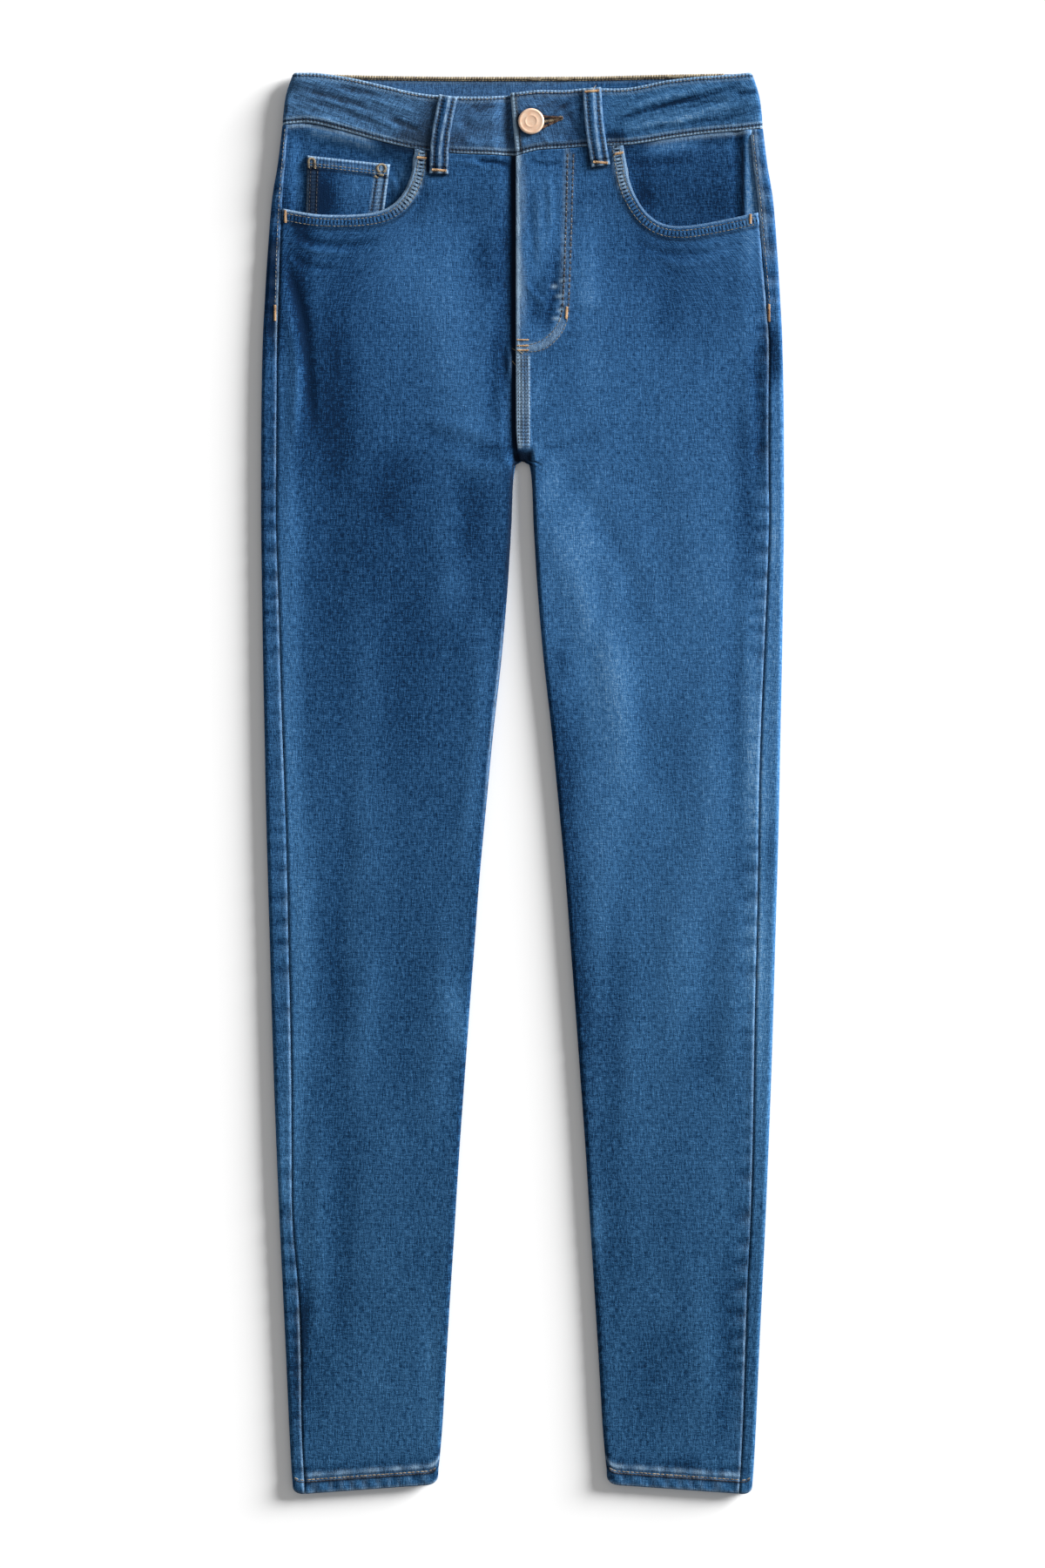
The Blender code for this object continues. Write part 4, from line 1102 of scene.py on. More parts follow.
# the waistband, and the button and buttonhole that crease it
band = {
    "rows": 30,
    "step": 1.5,           # between columns on the front
    "backStep": 2.4,
    "foldColumns": 10,
    "sideFold": 165.5,     # half-width where the band turns round to the back
    "slantFrom": 60.0,     # outside this half-width its columns lean with the side of the waist
    "edgeRoll": 1.6,
    "stitches": 2.0,       # from either edge to the stitches beside it
    "tabFrom": 2.0,        # where the tab's last columns begin
    "tabTo": -5.0,
}
button = {"at": (6.2, 475.0), "radius": 9.3, "steps": 64}
buttonhole = {
    "tip": (29.0, 477.6),
    "slope": 0.2,
    "spread": 0.27,
    "creases": [
        ((14, 466), (20, 458)), ((2, 464), (-1, 459)), ((20, 481), (30, 488)),
        ((10, 486), (22, 491)), ((31, 480), (42, 486)),
    ],
}


def bandStations():
    # once round: from the end under the tab over the right front, right fold, back, left fold, tab
    side = band["sideFold"]
    rightward = np.arange(cloth["lapEnd"], -side + 8, -band["step"])
    backward = np.arange(-side + 14, side - 13, band["backStep"])
    leftward = np.arange(side - 8, band["tabFrom"], -band["step"])
    turns = np.linspace(0, math.pi, band["foldColumns"] + 1)
    stretches = [
        ("right", rightward), ("foldRight", turns), ("back", backward),
        ("foldLeft", turns[::-1]), ("left", leftward), ("tab", np.linspace(0, 1, 7)),
    ]
    return [(kind, value) for kind, values in stretches for value in values]


def bandColumn(kind, value, shares):
    # the points of one column, from the seam up, on its outer side, and the way that side faces
    low, high = cloth["backLift"], cloth["bandHeight"]
    radius = (high - low) / 2
    if kind in ("foldRight", "foldLeft"):
        side, last = (-1, bandRight[0]) if kind == "foldRight" else (1, bandLeft[-1])
        seam, top = (mixed(last[n], bandBack[0][n], value / math.pi) for n in (2, 1))
        y = mixed(seam, top, shares)
        x = side * (outerAt(y) - radius + radius * math.sin(value))
        z = low + radius * (1 + math.cos(value)) + 0 * y
        return x, y, z, (side * math.sin(value), math.cos(value))
    if kind == "tab":
        place = mixed(band["tabFrom"], band["tabTo"], value)
        end = mixed(tabEnds["seam"], tabEnds["top"], shares)
        y = mixed(waistAt[1](place), topEdgeAt[1](place), shares)
        return mixed(band["tabFrom"], end, value), y, high + 0 * y, (0, 1)
    seamOf, topOf = {
        "right": (waistAt[-1], topEdgeAt[-1]),
        "left": (waistAt[1], topEdgeAt[1]),
        "back": (waistBackAt, topBackAt),
    }[kind]
    y = mixed(seamOf(value), topOf(value), shares)
    leans = abs(value) > band["slantFrom"]
    x = value * (outerAt(y) - radius) / band["sideFold"] if leans else value + 0 * y
    if kind == "back":
        return x, y, low + 0 * y, (0, -1)
    dip = 0.0
    if kind == "right":
        lapEnd = -cloth["lapEnd"]
        dip = (cloth["bandWall"] + cloth["gap"]) * smooth(lapEnd, lapEnd + cloth["lapEase"], value)
    return x, y, high - dip + 0 * y, (0, 1)


def bandWear(x, fromSeam, fromTop, onTop, lapped, shared):
    # a bulge along the band, rolled edges, and worn cloth beside each row of stitches
    width = np.maximum(fromSeam + fromTop, 1)
    tone = shared.tone - 0.06 - 0.04 * bell(x - 20, 24) + 0.04 * smooth(40, 90, x)
    # painted shade on the band next to the tab's end, where the band runs under it
    tone = mixed(0.50 + 0.05 * np.sin(x / 19.0), tone, onTop) - 0.14 * lapped * smooth(-14, -9, x)
    wear = WearAndShade(shared.rise * onTop + 0.3 * bell(fromSeam - width / 2, width / 3), tone)
    wear.rise -= 0.45 * fall(0, 1.0, fromSeam) + 0.8 * fall(0, band["edgeRoll"], fromTop)
    wear.rise -= 0.25 * (bell(fromSeam - band["stitches"], 0.6) + bell(fromTop - band["stitches"], 0.6))
    puckers = pinches(x, 7.5, 1.9) * (bell(fromSeam - 5.0, 2.6) + 0.7 * bell(fromTop - 4.6, 2.2))
    wear.rise -= 0.22 * puckers
    wear.tone -= 0.16 * puckers
    wear.pale = 1.0 * bell(fromSeam - 0.5, 1.0) + 0.42 * bell(fromSeam - 3.9, 0.8)
    wear.pale *= 1 - 0.85 * bell(x + 66, 24) - 0.55 * bell(x - 38, 24) - 0.45 * bell(x - 70, 9)
    wear.pale += 0.50 * bell(fromTop - 0.6, 0.9) * mixed(0.1, 1, onTop) + 0.20 * bell(fromTop - 3.8, 0.9)
    wear.pale += 0.07 * fall(10, 60, x)
    wear.ladder = 0.8 * fall(2.6, 4.0, np.minimum(fromSeam, fromTop))
    wear.dark = 0.97 * bell(fromSeam - 2.3, 0.85) + 0.80 * bell(fromTop - 2.2, 0.8)
    fine = np.sin(x / 2.9 + fromSeam / 1.7 + 2.0 * np.sin(x / 15.0)) * np.sin(x / 7.3 - fromSeam / 4.0)
    wear.rise += 0.07 * fine * onTop
    wear.tone += (0.07 + 0.03 * fine) * onTop
    wear.crush = onTop * (0.35 + 0.65 * smooth(44, 76, np.abs(x)))
    return wear


def tabWear(wear, x, y, fromSeam, fromTop, onLeft):
    # the tab's stitched end, and the dark stitches along both its edges
    end = mixed(tabEnds["seam"], tabEnds["top"], fromSeam / np.maximum(fromSeam + fromTop, 1))
    fromEnd = np.where(onLeft, x - end, 1000.0)
    wear.rise -= 0.5 * fall(0, 0.6, fromEnd) + 0.25 * bell(fromEnd - 3.2, 0.7)
    wear.pale += 1.3 * bell(fromEnd - 1.3, 2.1)
    onTab = onLeft * fall(26, 44, x) * smooth(3.0, 5.0, fromEnd)
    edges = bell(fromTop - 3.2, 1.3) + bell(fromSeam - 3.6, 1.3)
    wear.dark += onTab * (0.30 + 0.50 * pinches(x, 3.3, 0.4)) * edges + 0.95 * bell(fromEnd - 3.9, 1.0)
    wear.ladder = np.maximum(wear.ladder, 0.8 * fall(2.8, 4.2, fromEnd))
    wear.run = np.where((fromEnd < 4.2) & (fromSeam > 3) & (fromTop > 3), y, x)


def buttonholeAndShade(wear, x, y, onLeft):
    # the slit of the buttonhole with painted shade in it, painted shade round the button, and the creases
    # that run out from both, each painted lighter on one flank and darker on the other
    tipX, tipY = buttonhole["tip"]
    lips, middle = (tipX - x) * buttonhole["spread"], tipY - buttonhole["slope"] * (tipX - x)
    slit = onLeft * (x > 6) * (np.abs(y - middle) < lips) * (x < tipX)
    fromButton = np.hypot(x - button["at"][0], y - button["at"][1])
    wear.rise -= 0.8 * slit
    wear.dark += 0.8 * slit + 0.65 * onLeft * bell(fromButton - 10.0, 0.9)
    for start, end in buttonhole["creases"]:
        aside, _ = nearestOn(line(start, end), x, y, 6.0)
        wear.tone += onLeft * (0.16 * bell(aside - 1.2, 1.5) - 0.20 * bell(aside + 1.2, 1.3))


def waistband():
    stations, shares = bandStations(), packed(band["rows"], 0.45)
    kinds = np.array([kind for kind, _ in stations])
    net = [bandColumn(kind, value, shares) for kind, value in stations]
    xs, ys, zs, facing = (np.array(part) for part in zip(*net))

    def shape(column, row):
        x, y, z = xs[column, row], ys[column, row], zs[column, row]
        fromSeam, fromTop = y - ys[column, 0], ys[column, -1] - y
        onTop = smooth(-0.2, 0.8, facing[column, 1])
        onLeft = np.isin(kinds[column], ("tab", "left"))
        lapped = (kinds[column] == "right") * smooth(-cloth["lapEnd"], -10, x)
        wear = bandWear(x, fromSeam, fromTop, onTop, lapped, frontWearAndShade(x, y))
        tabWear(wear, x, y, fromSeam, fromTop, onLeft)
        buttonholeAndShade(wear, x, y, onLeft)
        wear.dark = np.clip(wear.dark, 0, 0.95)
        return x + facing[column, 0] * wear.rise, y, z + facing[column, 1] * wear.rise, wear

    columns = len(stations) - 1
    return clothPiece("denim_waistband", columns, band["rows"], shape, cloth["bandWall"], True)


# the pockets
pocket = {
    "grid": (64, 48),      # columns and rows of a facing
    "inner": 62.0,         # half-width where the facings end, under the fronts
    "reach": 1.5,          # they reach this far under the wrap of the back
    "depth": 392.0,
    "coinGrid": (56, 48),
    "coinDepth": 399.0,
    "coinTop": [(-154.4, 451.0), (-95.0, 444.6)],
    "coinSides": (-155.8, -101.0),
    "coinHem": 8.4,
}


def rightFacingSinkAndPaintedLight(wear, x, y, fromSide, fromTop):
    # it sinks to make room for the coin pocket, with a painted highlight under the waist seam and painted
    # shade under the band's edge and beside the mouth
    wear.rise -= (cloth["pocketWall"] + cloth["gap"]) * smooth(4, 13, fromSide) * smooth(3, 14, fromTop)
    wear.tone += 0.10 * bell(x + 163, 6)
    # painted highlight under the waist seam and beside the mouth
    wear.tone += 0.62 * bell(fromTop - 6.0, 4.6) * smooth(-160, -148, x) * fall(-112, -98, x)
    wear.tone += 0.30 * bell(x + 88, 7) * bell(y - 436, 11) + 0.14 * bell(x + 84, 6) * bell(y - 436, 9)
    wear.tone -= 0.30 * bell(fromSide - 3, 5) * fall(418, 436, y)
    wear.tone -= 0.20 * bell(x + 142, 12) * bell(y - 436, 8)
    # a painted highlight along the top edge, and painted shade under the band's edge and beside the mouth
    wear.pale = 0.55 * bell(fromTop - 1.6, 1.3) * fall(-116, -104, x)
    wear.dark = 0.8 * bell(fromTop - 1.5, 2.6) * smooth(-116, -98, x)
    wear.dark += 0.30 * bell(x + 93, 2.5) * bell(y - 426, 5)


def leftFacingFoldAndPaintedLight(wear, x, y, fromTop):
    # a fold stands along its side, and a crease runs in from the mouth; both carry painted shade, with a
    # painted highlight on the fold's ridge, under the waist seam and along the top edge
    wear.rise += 0.5 * bell(x - 161, 3.0) - 0.9 * bell(x - 154, 3.2)
    # painted highlight on the fold's ridge, painted shade in its trough
    wear.tone += 0.62 * smooth(159.0, 160.6, x) - 0.20 * bell(x - 154, 3.0)
    crease = bell(y - 446 - 0.04 * (x - 100), 2.6) * smooth(72, 84, x) * fall(108, 130, x)
    wear.rise -= 0.5 * crease
    wear.tone += 0.10 * bell(y - 456, 5) * smooth(80, 100, x) - 0.20 * crease
    highlight = smooth(84, 98, x) * fall(116, 134, x)
    wear.tone += 0.40 * bell(fromTop - 5.0, 4.2) * highlight - 0.26 * bell(x - 87, 8) * bell(y - 424, 18)
    wear.tone -= 0.07 + 0.14 * bell(x - 138, 16) * bell(y - 420, 16)
    # painted highlight along the top edge, painted shade under the band's edge and in the fold
    wear.pale = 0.45 * bell(fromTop - 1.6, 1.3) * smooth(84, 100, x)
    wear.dark = 0.6 * bell(fromTop - 0.5, 1.6) * fall(90, 110, x)
    wear.dark += 0.95 * bell(x - 158.0, 1.2) * fall(456, 464, y)


def pocketFacing(side):
    columns, rows = pocket["grid"]

    def shape(column, row):
        share = column / columns
        top = waistAt[side](side * mixed(pocket["inner"], band["sideFold"], share)) - cloth["waistGap"]
        y = mixed(pocket["depth"], top, row / rows)
        underWrap = seamAt[side](y) + pocket["reach"]
        x = side * mixed(pocket["inner"], underWrap, share)
        rise, tone = foldsAt(x, y)
        fromSide, fromTop = underWrap - np.abs(x), top - y
        wear = WearAndShade(np.minimum(rise, 0.3) + 1.35 * fall(1.0, 9.0, fromTop), 0.5 * tone + 0.36)
        if side < 0:
            rightFacingSinkAndPaintedLight(wear, x, y, fromSide, fromTop)
        else:
            leftFacingFoldAndPaintedLight(wear, x, y, fromTop)
        return x, y, topAt(y) - cloth["wall"] - cloth["gap"] + wear.rise, wear

    name = "denim_pocket_facing_" + words[side]
    return clothPiece(name, columns, rows, shape, cloth["pocketWall"], side < 0)


def coinWear(x, y, rise, tone, fromTop, fromSide, inner):
    # a hemmed top edge and two rows of stitches up each side; inner is true on the fly's side
    hem = fall(pocket["coinHem"] - 0.7, pocket["coinHem"] + 0.5, fromTop)
    besideStitches = np.where(inner, fall(9.6, 11, fromSide), fall(7.6, 9, fromSide))
    pucker = pinches(y + 1.5 * np.sin(fromSide), 4.1, 1.1) * besideStitches * (1 - hem)
    wear = WearAndShade(np.minimum(rise, 0.2) - 0.18 * pucker, 0.5 * tone + 0.38 + 0.06 * hem - 0.22 * pucker)
    wear.rise -= 0.45 * fall(0, 1.3, np.minimum(fromSide, fromTop))
    wear.rise += 0.35 * hem * smooth(0, 2, fromTop)
    wear.tone += np.where(inner, 0.16, -0.12) * besideStitches
    wear.tone += 0.24 * bell(x + 120, 13) * bell(y - 428, 16) - 0.64 * bell(x + 147, 12) * bell(y - 420, 22)
    wear.pale = 0.62 * bell(fromTop - 0.7, 0.9) + np.where(inner, 0.70, 0.24) * bell(fromSide - 0.7, 0.9)
    wear.pale += 0.16 * bell(fromTop - 4.4, 2.0) * (0.6 + 0.4 * np.sin(x / 1.4 + 2 * np.sin(x / 5.0)))
    blotches = np.where(inner, 0.55 * bell(fromSide - 10.2, 0.9) + 0.46 * bell(fromSide - 5.4, 2.0), 0.06)
    wear.pale += blotches * besideStitches * (1 - 1.1 * pucker)
    wear.dark = 0.75 * bell(fromTop - pocket["coinHem"] - 1.0, 1.0) + 0.35 * bell(fromTop - 2.6, 0.6)
    sewn = bell(fromSide - np.where(inner, 8.4, 7.2), 0.9) + bell(fromSide - 2.6, 0.9)
    wear.dark += (0.85 + 0.15 * pucker) * sewn * (1 - hem)
    wear.dark += np.where(inner, 0.0, 0.22) * besideStitches * (1 - hem)
    wear.ladder = np.maximum(0.5 * hem, 0.7 * besideStitches)
    wear.run = np.where(hem > 0.5, x, y)
    return wear


def coinPocket():
    (outerX, outerY), (innerX, innerY) = pocket["coinTop"]
    lowOuter, lowInner = pocket["coinSides"]
    columns, rows = pocket["coinGrid"]

    def shape(column, row):
        share, up = packed(columns, 0.4)[column], packed(rows, 0.4)[row]
        topY = mixed(outerY, innerY, share)
        y = mixed(pocket["coinDepth"], topY, up)
        x = mixed(mixed(lowOuter, lowInner, share), mixed(outerX, innerX, share), up)
        fromSide = np.minimum(share, 1 - share) * mixed(lowInner - lowOuter, innerX - outerX, up)
        wear = coinWear(x, y, *foldsAt(x, y), topY - y, fromSide, share > 0.5)
        return x, y, topAt(y) - cloth["wall"] - cloth["gap"] + wear.rise, wear

    return clothPiece("denim_coin_pocket", columns, rows, shape, cloth["pocketWall"], False)


# the belt loops; the step is where a loop climbs from the front onto the waistband
loop = {"width": 13.5, "rib": 0.45, "step": 6.0, "bow": 0.5, "stitches": 3.7, "columns": 18, "rows": 44}


def loopWear(wear, place, offset, fromSide, fromEnd, firstX):
    # a pale ridge down the middle and pale edges, with dark stitches between
    half, lit = np.abs(offset), offset > 0
    pucker = pinches(place, 5.4, firstX)
    wear.tone += 0.06 * bell(offset, 1.6) - 0.20 * bell(half - loop["stitches"], 1.0)
    wear.tone -= 0.20 * pucker * (half < 5)
    rough = 0.55 + 0.60 * pinches(place, 3.9, 0.4) + 0.22 * np.sin(place / 2.1 + 1.3 * offset)
    ridge = offset - 0.9 + 0.5 * np.sin(place / 9.0)
    # the pale of the edges is painted weaker on the lit side, and that side's rim is painted dark
    wear.pale = np.where(lit, 0.54, 0.80) * bell(fromSide - 1.2, 1.2) + 0.84 * bell(ridge, 0.9)
    wear.pale = wear.pale * rough + 0.5 * bell(fromEnd - 0.8, 1.1)
    sewn = 0.45 + 0.55 * pinches(place + 1.6 * offset, 3.2, 1.1)
    wear.dark = sewn * bell(half - 3.4, 1.5) + 0.6 * bell(place - 4.6, 1.1)
    wear.dark += 0.30 * fall(8.0, 22.0, place) * bell(half - 3.0, 2.4)
    wear.dark += 0.5 * lit * fall(0.0, 0.5, fromSide)
    wear.ladder, wear.run = 1.3 * bell(half - loop["stitches"], 1.2), place


def beltLoop(name, centre):
    onFront, side = "front" in name, -1 if centre[0][0] < 0 else 1
    route = routeThrough(list(reversed(centre)))
    runs = runsOf(route)
    slopes = np.gradient(route[:, 0]) / np.gradient(route[:, 1])

    def shape(column, row):
        place = packed(loop["rows"], 0.3)[row] * runs[-1]
        middle, up, slope = (np.interp(place, runs, values) for values in (*route.T, slopes))
        offset = (packed(loop["columns"], 0.3)[column] - 0.5) * loop["width"]
        x, y = middle + offset * np.cos(slope), up - offset * np.sin(slope)
        fromSide, fromEnd = loop["width"] / 2 - np.abs(offset), np.minimum(place, runs[-1] - place)
        rib = loop["rib"] * bell(offset, 2.0) - 0.25 * bell(np.abs(offset) - loop["stitches"], 0.8)
        rib -= 0.35 * fall(0, 1.3, np.minimum(fromSide, fromEnd))
        if onFront:
            rise, tone = foldsAt(middle, y)
            step = smooth(0, loop["step"], y - waistAt[side](middle) + 1 + loop["step"])
            z = mixed(cloth["hipHeight"], cloth["bandHeight"], step) + cloth["gap"] + cloth["loopWall"]
            z += rib + np.maximum(rise, -0.2) + 0.25
            z += loop["bow"] * bell(place - runs[-1] * 0.6, runs[-1] * 0.25)
            tone = 0.53 + 0.4 * tone + (0.22 if side > 0 else -0.04)
        else:
            z, tone = np.maximum(-rib, 0.0), 0.5 + 0 * x
        wear = WearAndShade(rib, tone)
        loopWear(wear, place, offset, fromSide, fromEnd, middle[0])
        return x, y, z, wear

    return clothPiece("denim_" + name, loop["columns"], loop["rows"], shape, cloth["loopWall"], not onFront)


def turnedPiece(name, section, place, steps):
    # a half section of (radius, height), spun round once
    form = bmesh.new()
    points = [form.verts.new((radius * mm, 0.0, height * mm)) for radius, height in section]
    edges = [form.edges.new(pair) for pair in zip(points, points[1:])]
    bmesh.ops.spin(
        form, geom=points + edges, cent=(0, 0, 0), axis=(0, 0, 1),
        angle=math.tau, steps=steps, use_merge=True,
    )
    bmesh.ops.remove_doubles(form, verts=form.verts, dist=0.00001)
    bmesh.ops.recalc_face_normals(form, faces=form.faces)
    bmesh.ops.translate(form, verts=form.verts, vec=Vector(place) * mm)
    return placed(name, meshOf(form, name))


def flyButton():
    # a rounded rim, a bare ring sunk inside it and a low dome, each as (way in from the rim, height)
    radius = button["radius"]
    rim = [(1.3, 0.0), (0.5, 0.25), (0.1, 0.7), (0.0, 1.15), (0.12, 1.6), (0.45, 1.98), (0.95, 2.2)]
    sunk = [(1.5, 2.22), (1.9, 2.14), (2.2, 2.08), (2.7, 2.06), (3.6, 2.07), (4.4, 2.08)]
    dome = [(4.75, 2.15), (5.15, 2.2), (5.5, 2.16), (5.8, 2.06), (6.3, 2.01), (radius - 1.2, 1.99)]
    section = [(radius - inwards, height) for inwards, height in rim + sunk + dome]
    place = (*button["at"], cloth["bandHeight"] + cloth["gap"])
    return turnedPiece("fly_button", [(0.0, 0.0), *section, (0.0, 1.98)], place, button["steps"])


class Value:
    # a socket that takes part in arithmetic
    def __init__(self, finish, socket):
        self.finish, self.socket = finish, socket

    def maths(self, operation, first, second):
        return self.finish.node("Math", {"operation": operation}, {0: first, 1: second})

    def __add__(self, other):
        return self.maths("ADD", self, other)

    def __sub__(self, other):
        return self.maths("SUBTRACT", self, other)

    def __mul__(self, other):
        return self.maths("MULTIPLY", self, other)

    def __rsub__(self, other):
        return self.maths("SUBTRACT", other, self)

    __radd__ = __add__
    __rmul__ = __mul__


class Finish:
    # a material and the nodes behind it
    def __init__(self, name):
        self.material = bpy.data.materials.new(name)
        self.material.use_nodes = True
        self.tree = self.material.node_tree
        self.shader = self.tree.nodes["Principled BSDF"]

    def node(self, kind, settings, sockets, output=0):
        made = self.tree.nodes.new("ShaderNode" + kind)
        for key, value in settings.items():
            setattr(made, key, value)
        for key, value in sockets.items():
            self.plug(made.inputs[key], value)
        return Value(self, made.outputs[output])

    def plug(self, socket, value):
        if isinstance(value, Value):
            self.tree.links.new(value.socket, socket)
        else:
            socket.default_value = value

    def only(self, operation, value):
        # maths on one value
        return self.node("Math", {"operation": operation}, {0: value})

    def clamped(self, value):
        return self.node("Clamp", {}, {"Value": value})

    def part(self, vector, n):
        return self.node("SeparateXYZ", {}, {"Vector": vector}, n)

    def attribute(self, name):
        return self.node("Attribute", {"attribute_name": name}, {}, 2)

    def grain(self):
        return self.node("UVMap", {"uv_map": "grain"}, {})

    def place(self):
        return self.node("TexCoord", {}, {}, 3)

    def noise(self, vector, size, detail=2.0):
        # size is the width and length of a patch, in millimetres
        scale = (1000 / size[0], 1000 / size[1], 1000 / size[-1])
        spread = self.node("Mapping", {}, {"Vector": vector, "Scale": scale})
        sockets = {"Vector": spread, "Scale": 1.0, "Detail": detail, "Roughness": 0.55}
        return self.node("TexNoise", {}, sockets)

    def share(self, value, low, high):
        # 0 to 1 as the value goes from low to high
        return self.node("MapRange", {}, {"Value": value, "From Min": low, "From Max": high})

    def near(self, value, place, width):
        # 1 where a value is at a place, 0 from a width away
        away = (value - place) * (1 / width)
        return self.clamped(1 - away * away)

    def ramp(self, stops, value):
        # colours at set places, from the first to the last
        colour = self.node("ValToRGB", {}, {"Fac": value})
        elements = colour.socket.node.color_ramp.elements
        for place, _ in stops[1:-1]:
            elements.new(place)
        for element, (place, shade) in zip(elements, stops):
            element.position, element.color = place, (*shade, 1.0)
        return colour

    def mix(self, share, first, second, blend="MIX"):
        colours = [value if isinstance(value, Value) else (*value, 1.0) for value in (first, second)]
        settings = {"data_type": "RGBA", "blend_type": blend}
        return self.node("Mix", settings, {0: share, 6: colours[0], 7: colours[1]}, 2)

    def set(self, **values):
        for key, value in values.items():
            self.plug(self.shader.inputs[key.replace("_", " ")], value)

    def bump(self, height, distance, strength=1.0):
        normal = self.node("Bump", {}, {"Height": height, "Distance": distance, "Strength": strength})
        self.set(Normal=normal)


denimLook = {
    "stops": [
        (0.0, (0.0024, 0.0140, 0.0410)),
        (0.25, (0.0060, 0.0370, 0.1010)),
        (0.5, (0.0200, 0.0720, 0.1640)),
        (0.75, (0.0315, 0.1120, 0.2500)),
        (1.0, (0.0650, 0.1720, 0.3300)),
        (1.3, (0.1500, 0.2700, 0.4200)),
    ],
    "reach": 1.3,    # the stops run from tone 0 to this
    # pale is worn white, and painted highlight in places; dark is the colour of stitch holes and of painted
    # shade
    "pale": (0.250, 0.370, 0.500),
    "dark": (0.0030, 0.0080, 0.0200),
    "tintBelow": (1.06, 1.02, 0.95),    # from the hem up to the waist
    "tintAbove": (0.96, 0.99, 1.05),
    "tintBand": (1.06, 1.00, 0.98),    # the waistband is washed greyer
    "stitchPitch": 2.5,
    "rowWidth": 0.15,    # the dents of the stitches, as a share of the space between two rows
    "bars": 1.0,    # the dark bars between two rows
    "dots": 0.75,    # the dark dents along a row
    "warp": 1.25,
    "weft": 1.05,
    "grain": 0.95,
    "slub": 0.42,
    "ribs": 0.035,
    "ribPitch": 3.3,
    "mottle": 0.20,
    "ladder": 0.22,
    "crinkle": 0.55,
    "between": 0.08,
    "twillPitch": 0.85,
}


def crinkleOf(finish):
    # short slanting creases, mirrored at the middle, where the cloth is crushed
    place = finish.place()
    out, up = finish.only("ABSOLUTE", finish.part(place, 0)), finish.part(place, 1)
    slanted = finish.node("CombineXYZ", {}, {"X": out * 0.94 + up * 0.34, "Y": up * 0.94 - out * 0.34})
    return (finish.noise(slanted, (15.0, 1.9, 1)) - 0.5) * finish.attribute("crush")


def washOf(finish, grain, tone):
    # the blue for a tone, tinted a little from hem to waist and on the waistband
    look = denimLook
    stops = [(place / look["reach"], shade) for place, shade in look["stops"]]
    colour = finish.ramp(stops, tone * (1 / look["reach"]))
    share = finish.share(finish.part(grain, 1), -0.40, 0.35)
    tint = finish.mix(share, look["tintBelow"], look["tintAbove"])
    tint = finish.mix(finish.attribute("crush"), tint, look["tintBand"])
    return finish.mix(1.0, colour, tint, "MULTIPLY")


def denimFinish():
    look, finish = denimLook, Finish("washed_denim")
    grain = finish.grain()
    warp = finish.noise(grain, (0.9, 5.0, 1)) - 0.5
    weft = finish.noise(grain, (4.0, 0.9, 1)) - 0.5
    fine = finish.noise(grain, (0.6, 0.6, 1), 1.0) - 0.5
    slub = finish.noise(grain, (1.3, 40.0, 1)) - 0.5
    mottle = finish.noise(grain, (16.0, 22.0, 1), 3.0) - 0.5
    ribs = finish.part(grain, 1) * (math.tau / look["ribPitch"] / mm)
    ribs = finish.only("SINE", ribs + finish.noise(grain, (9.0, 9.0, 1)) * 6.0)
    wave = finish.only("SINE", finish.attribute("run") * (math.tau / look["stitchPitch"]))
    ladder = wave * finish.attribute("ladder")
    # the worn bars between the two rows of a pocket mouth, and the dents along each
    rows = finish.attribute("rows")
    between = finish.near(rows, 1.5, 0.44)
    onRow = finish.near(rows, 1.0, look["rowWidth"]) + finish.near(rows, 2.0, look["rowWidth"])
    bars = finish.clamped(wave * 1.6 + 0.1) * between * look["bars"]
    dots = (wave * 0.5 + 0.5) * onRow * look["dots"]
    crinkle = crinkleOf(finish)
    tone = finish.attribute("tone") + warp * look["warp"] + weft * look["weft"] + fine * look["grain"]
    tone = tone + slub * look["slub"] + mottle * look["mottle"] + ladder * look["ladder"]
    tone = tone + ribs * look["ribs"] + crinkle * look["crinkle"] + between * look["between"]
    colour = washOf(finish, grain, tone)
    paleWearAndHighlight = finish.clamped(finish.attribute("pale") * (fine * 2.2 + warp * 2.2 + 1.0))
    deep = finish.clamped(finish.attribute("dark") + bars + dots)
    colour = finish.mix(deep, finish.mix(paleWearAndHighlight, colour, look["pale"]), look["dark"])
    finish.set(Base_Color=colour, Roughness=fine * 0.2 + 0.86, Specular_IOR_Level=0.05)
    diagonal = finish.part(grain, 0) + finish.part(grain, 1)
    twill = finish.only("SINE", diagonal * (math.tau / look["twillPitch"] / mm))
    height = warp * 0.9 + weft * 0.9 + fine * 0.8 + twill * 0.10 + ladder * 0.6 - bars * 0.8 + crinkle * 2.2
    finish.bump(height, 0.0005, 0.55)
    return finish.material


def reverseFinish():
    # the inner side of the cloth, where the undyed weft shows
    finish = Finish("denim_reverse")
    grain = finish.grain()
    warp = finish.noise(grain, (0.8, 4.0, 1))
    weft = finish.noise(grain, (3.0, 0.7, 1))
    stops = [(0.30, (0.045, 0.085, 0.150)), (0.5, (0.170, 0.230, 0.300)), (0.7, (0.360, 0.410, 0.450))]
    colour = finish.ramp(stops, warp * 0.5 + weft * 0.5)
    finish.set(Base_Color=colour, Roughness=weft * 0.1 + 0.85, Specular_IOR_Level=0.15)
    finish.bump(warp + weft, 0.0003, 0.5)
    return finish.material


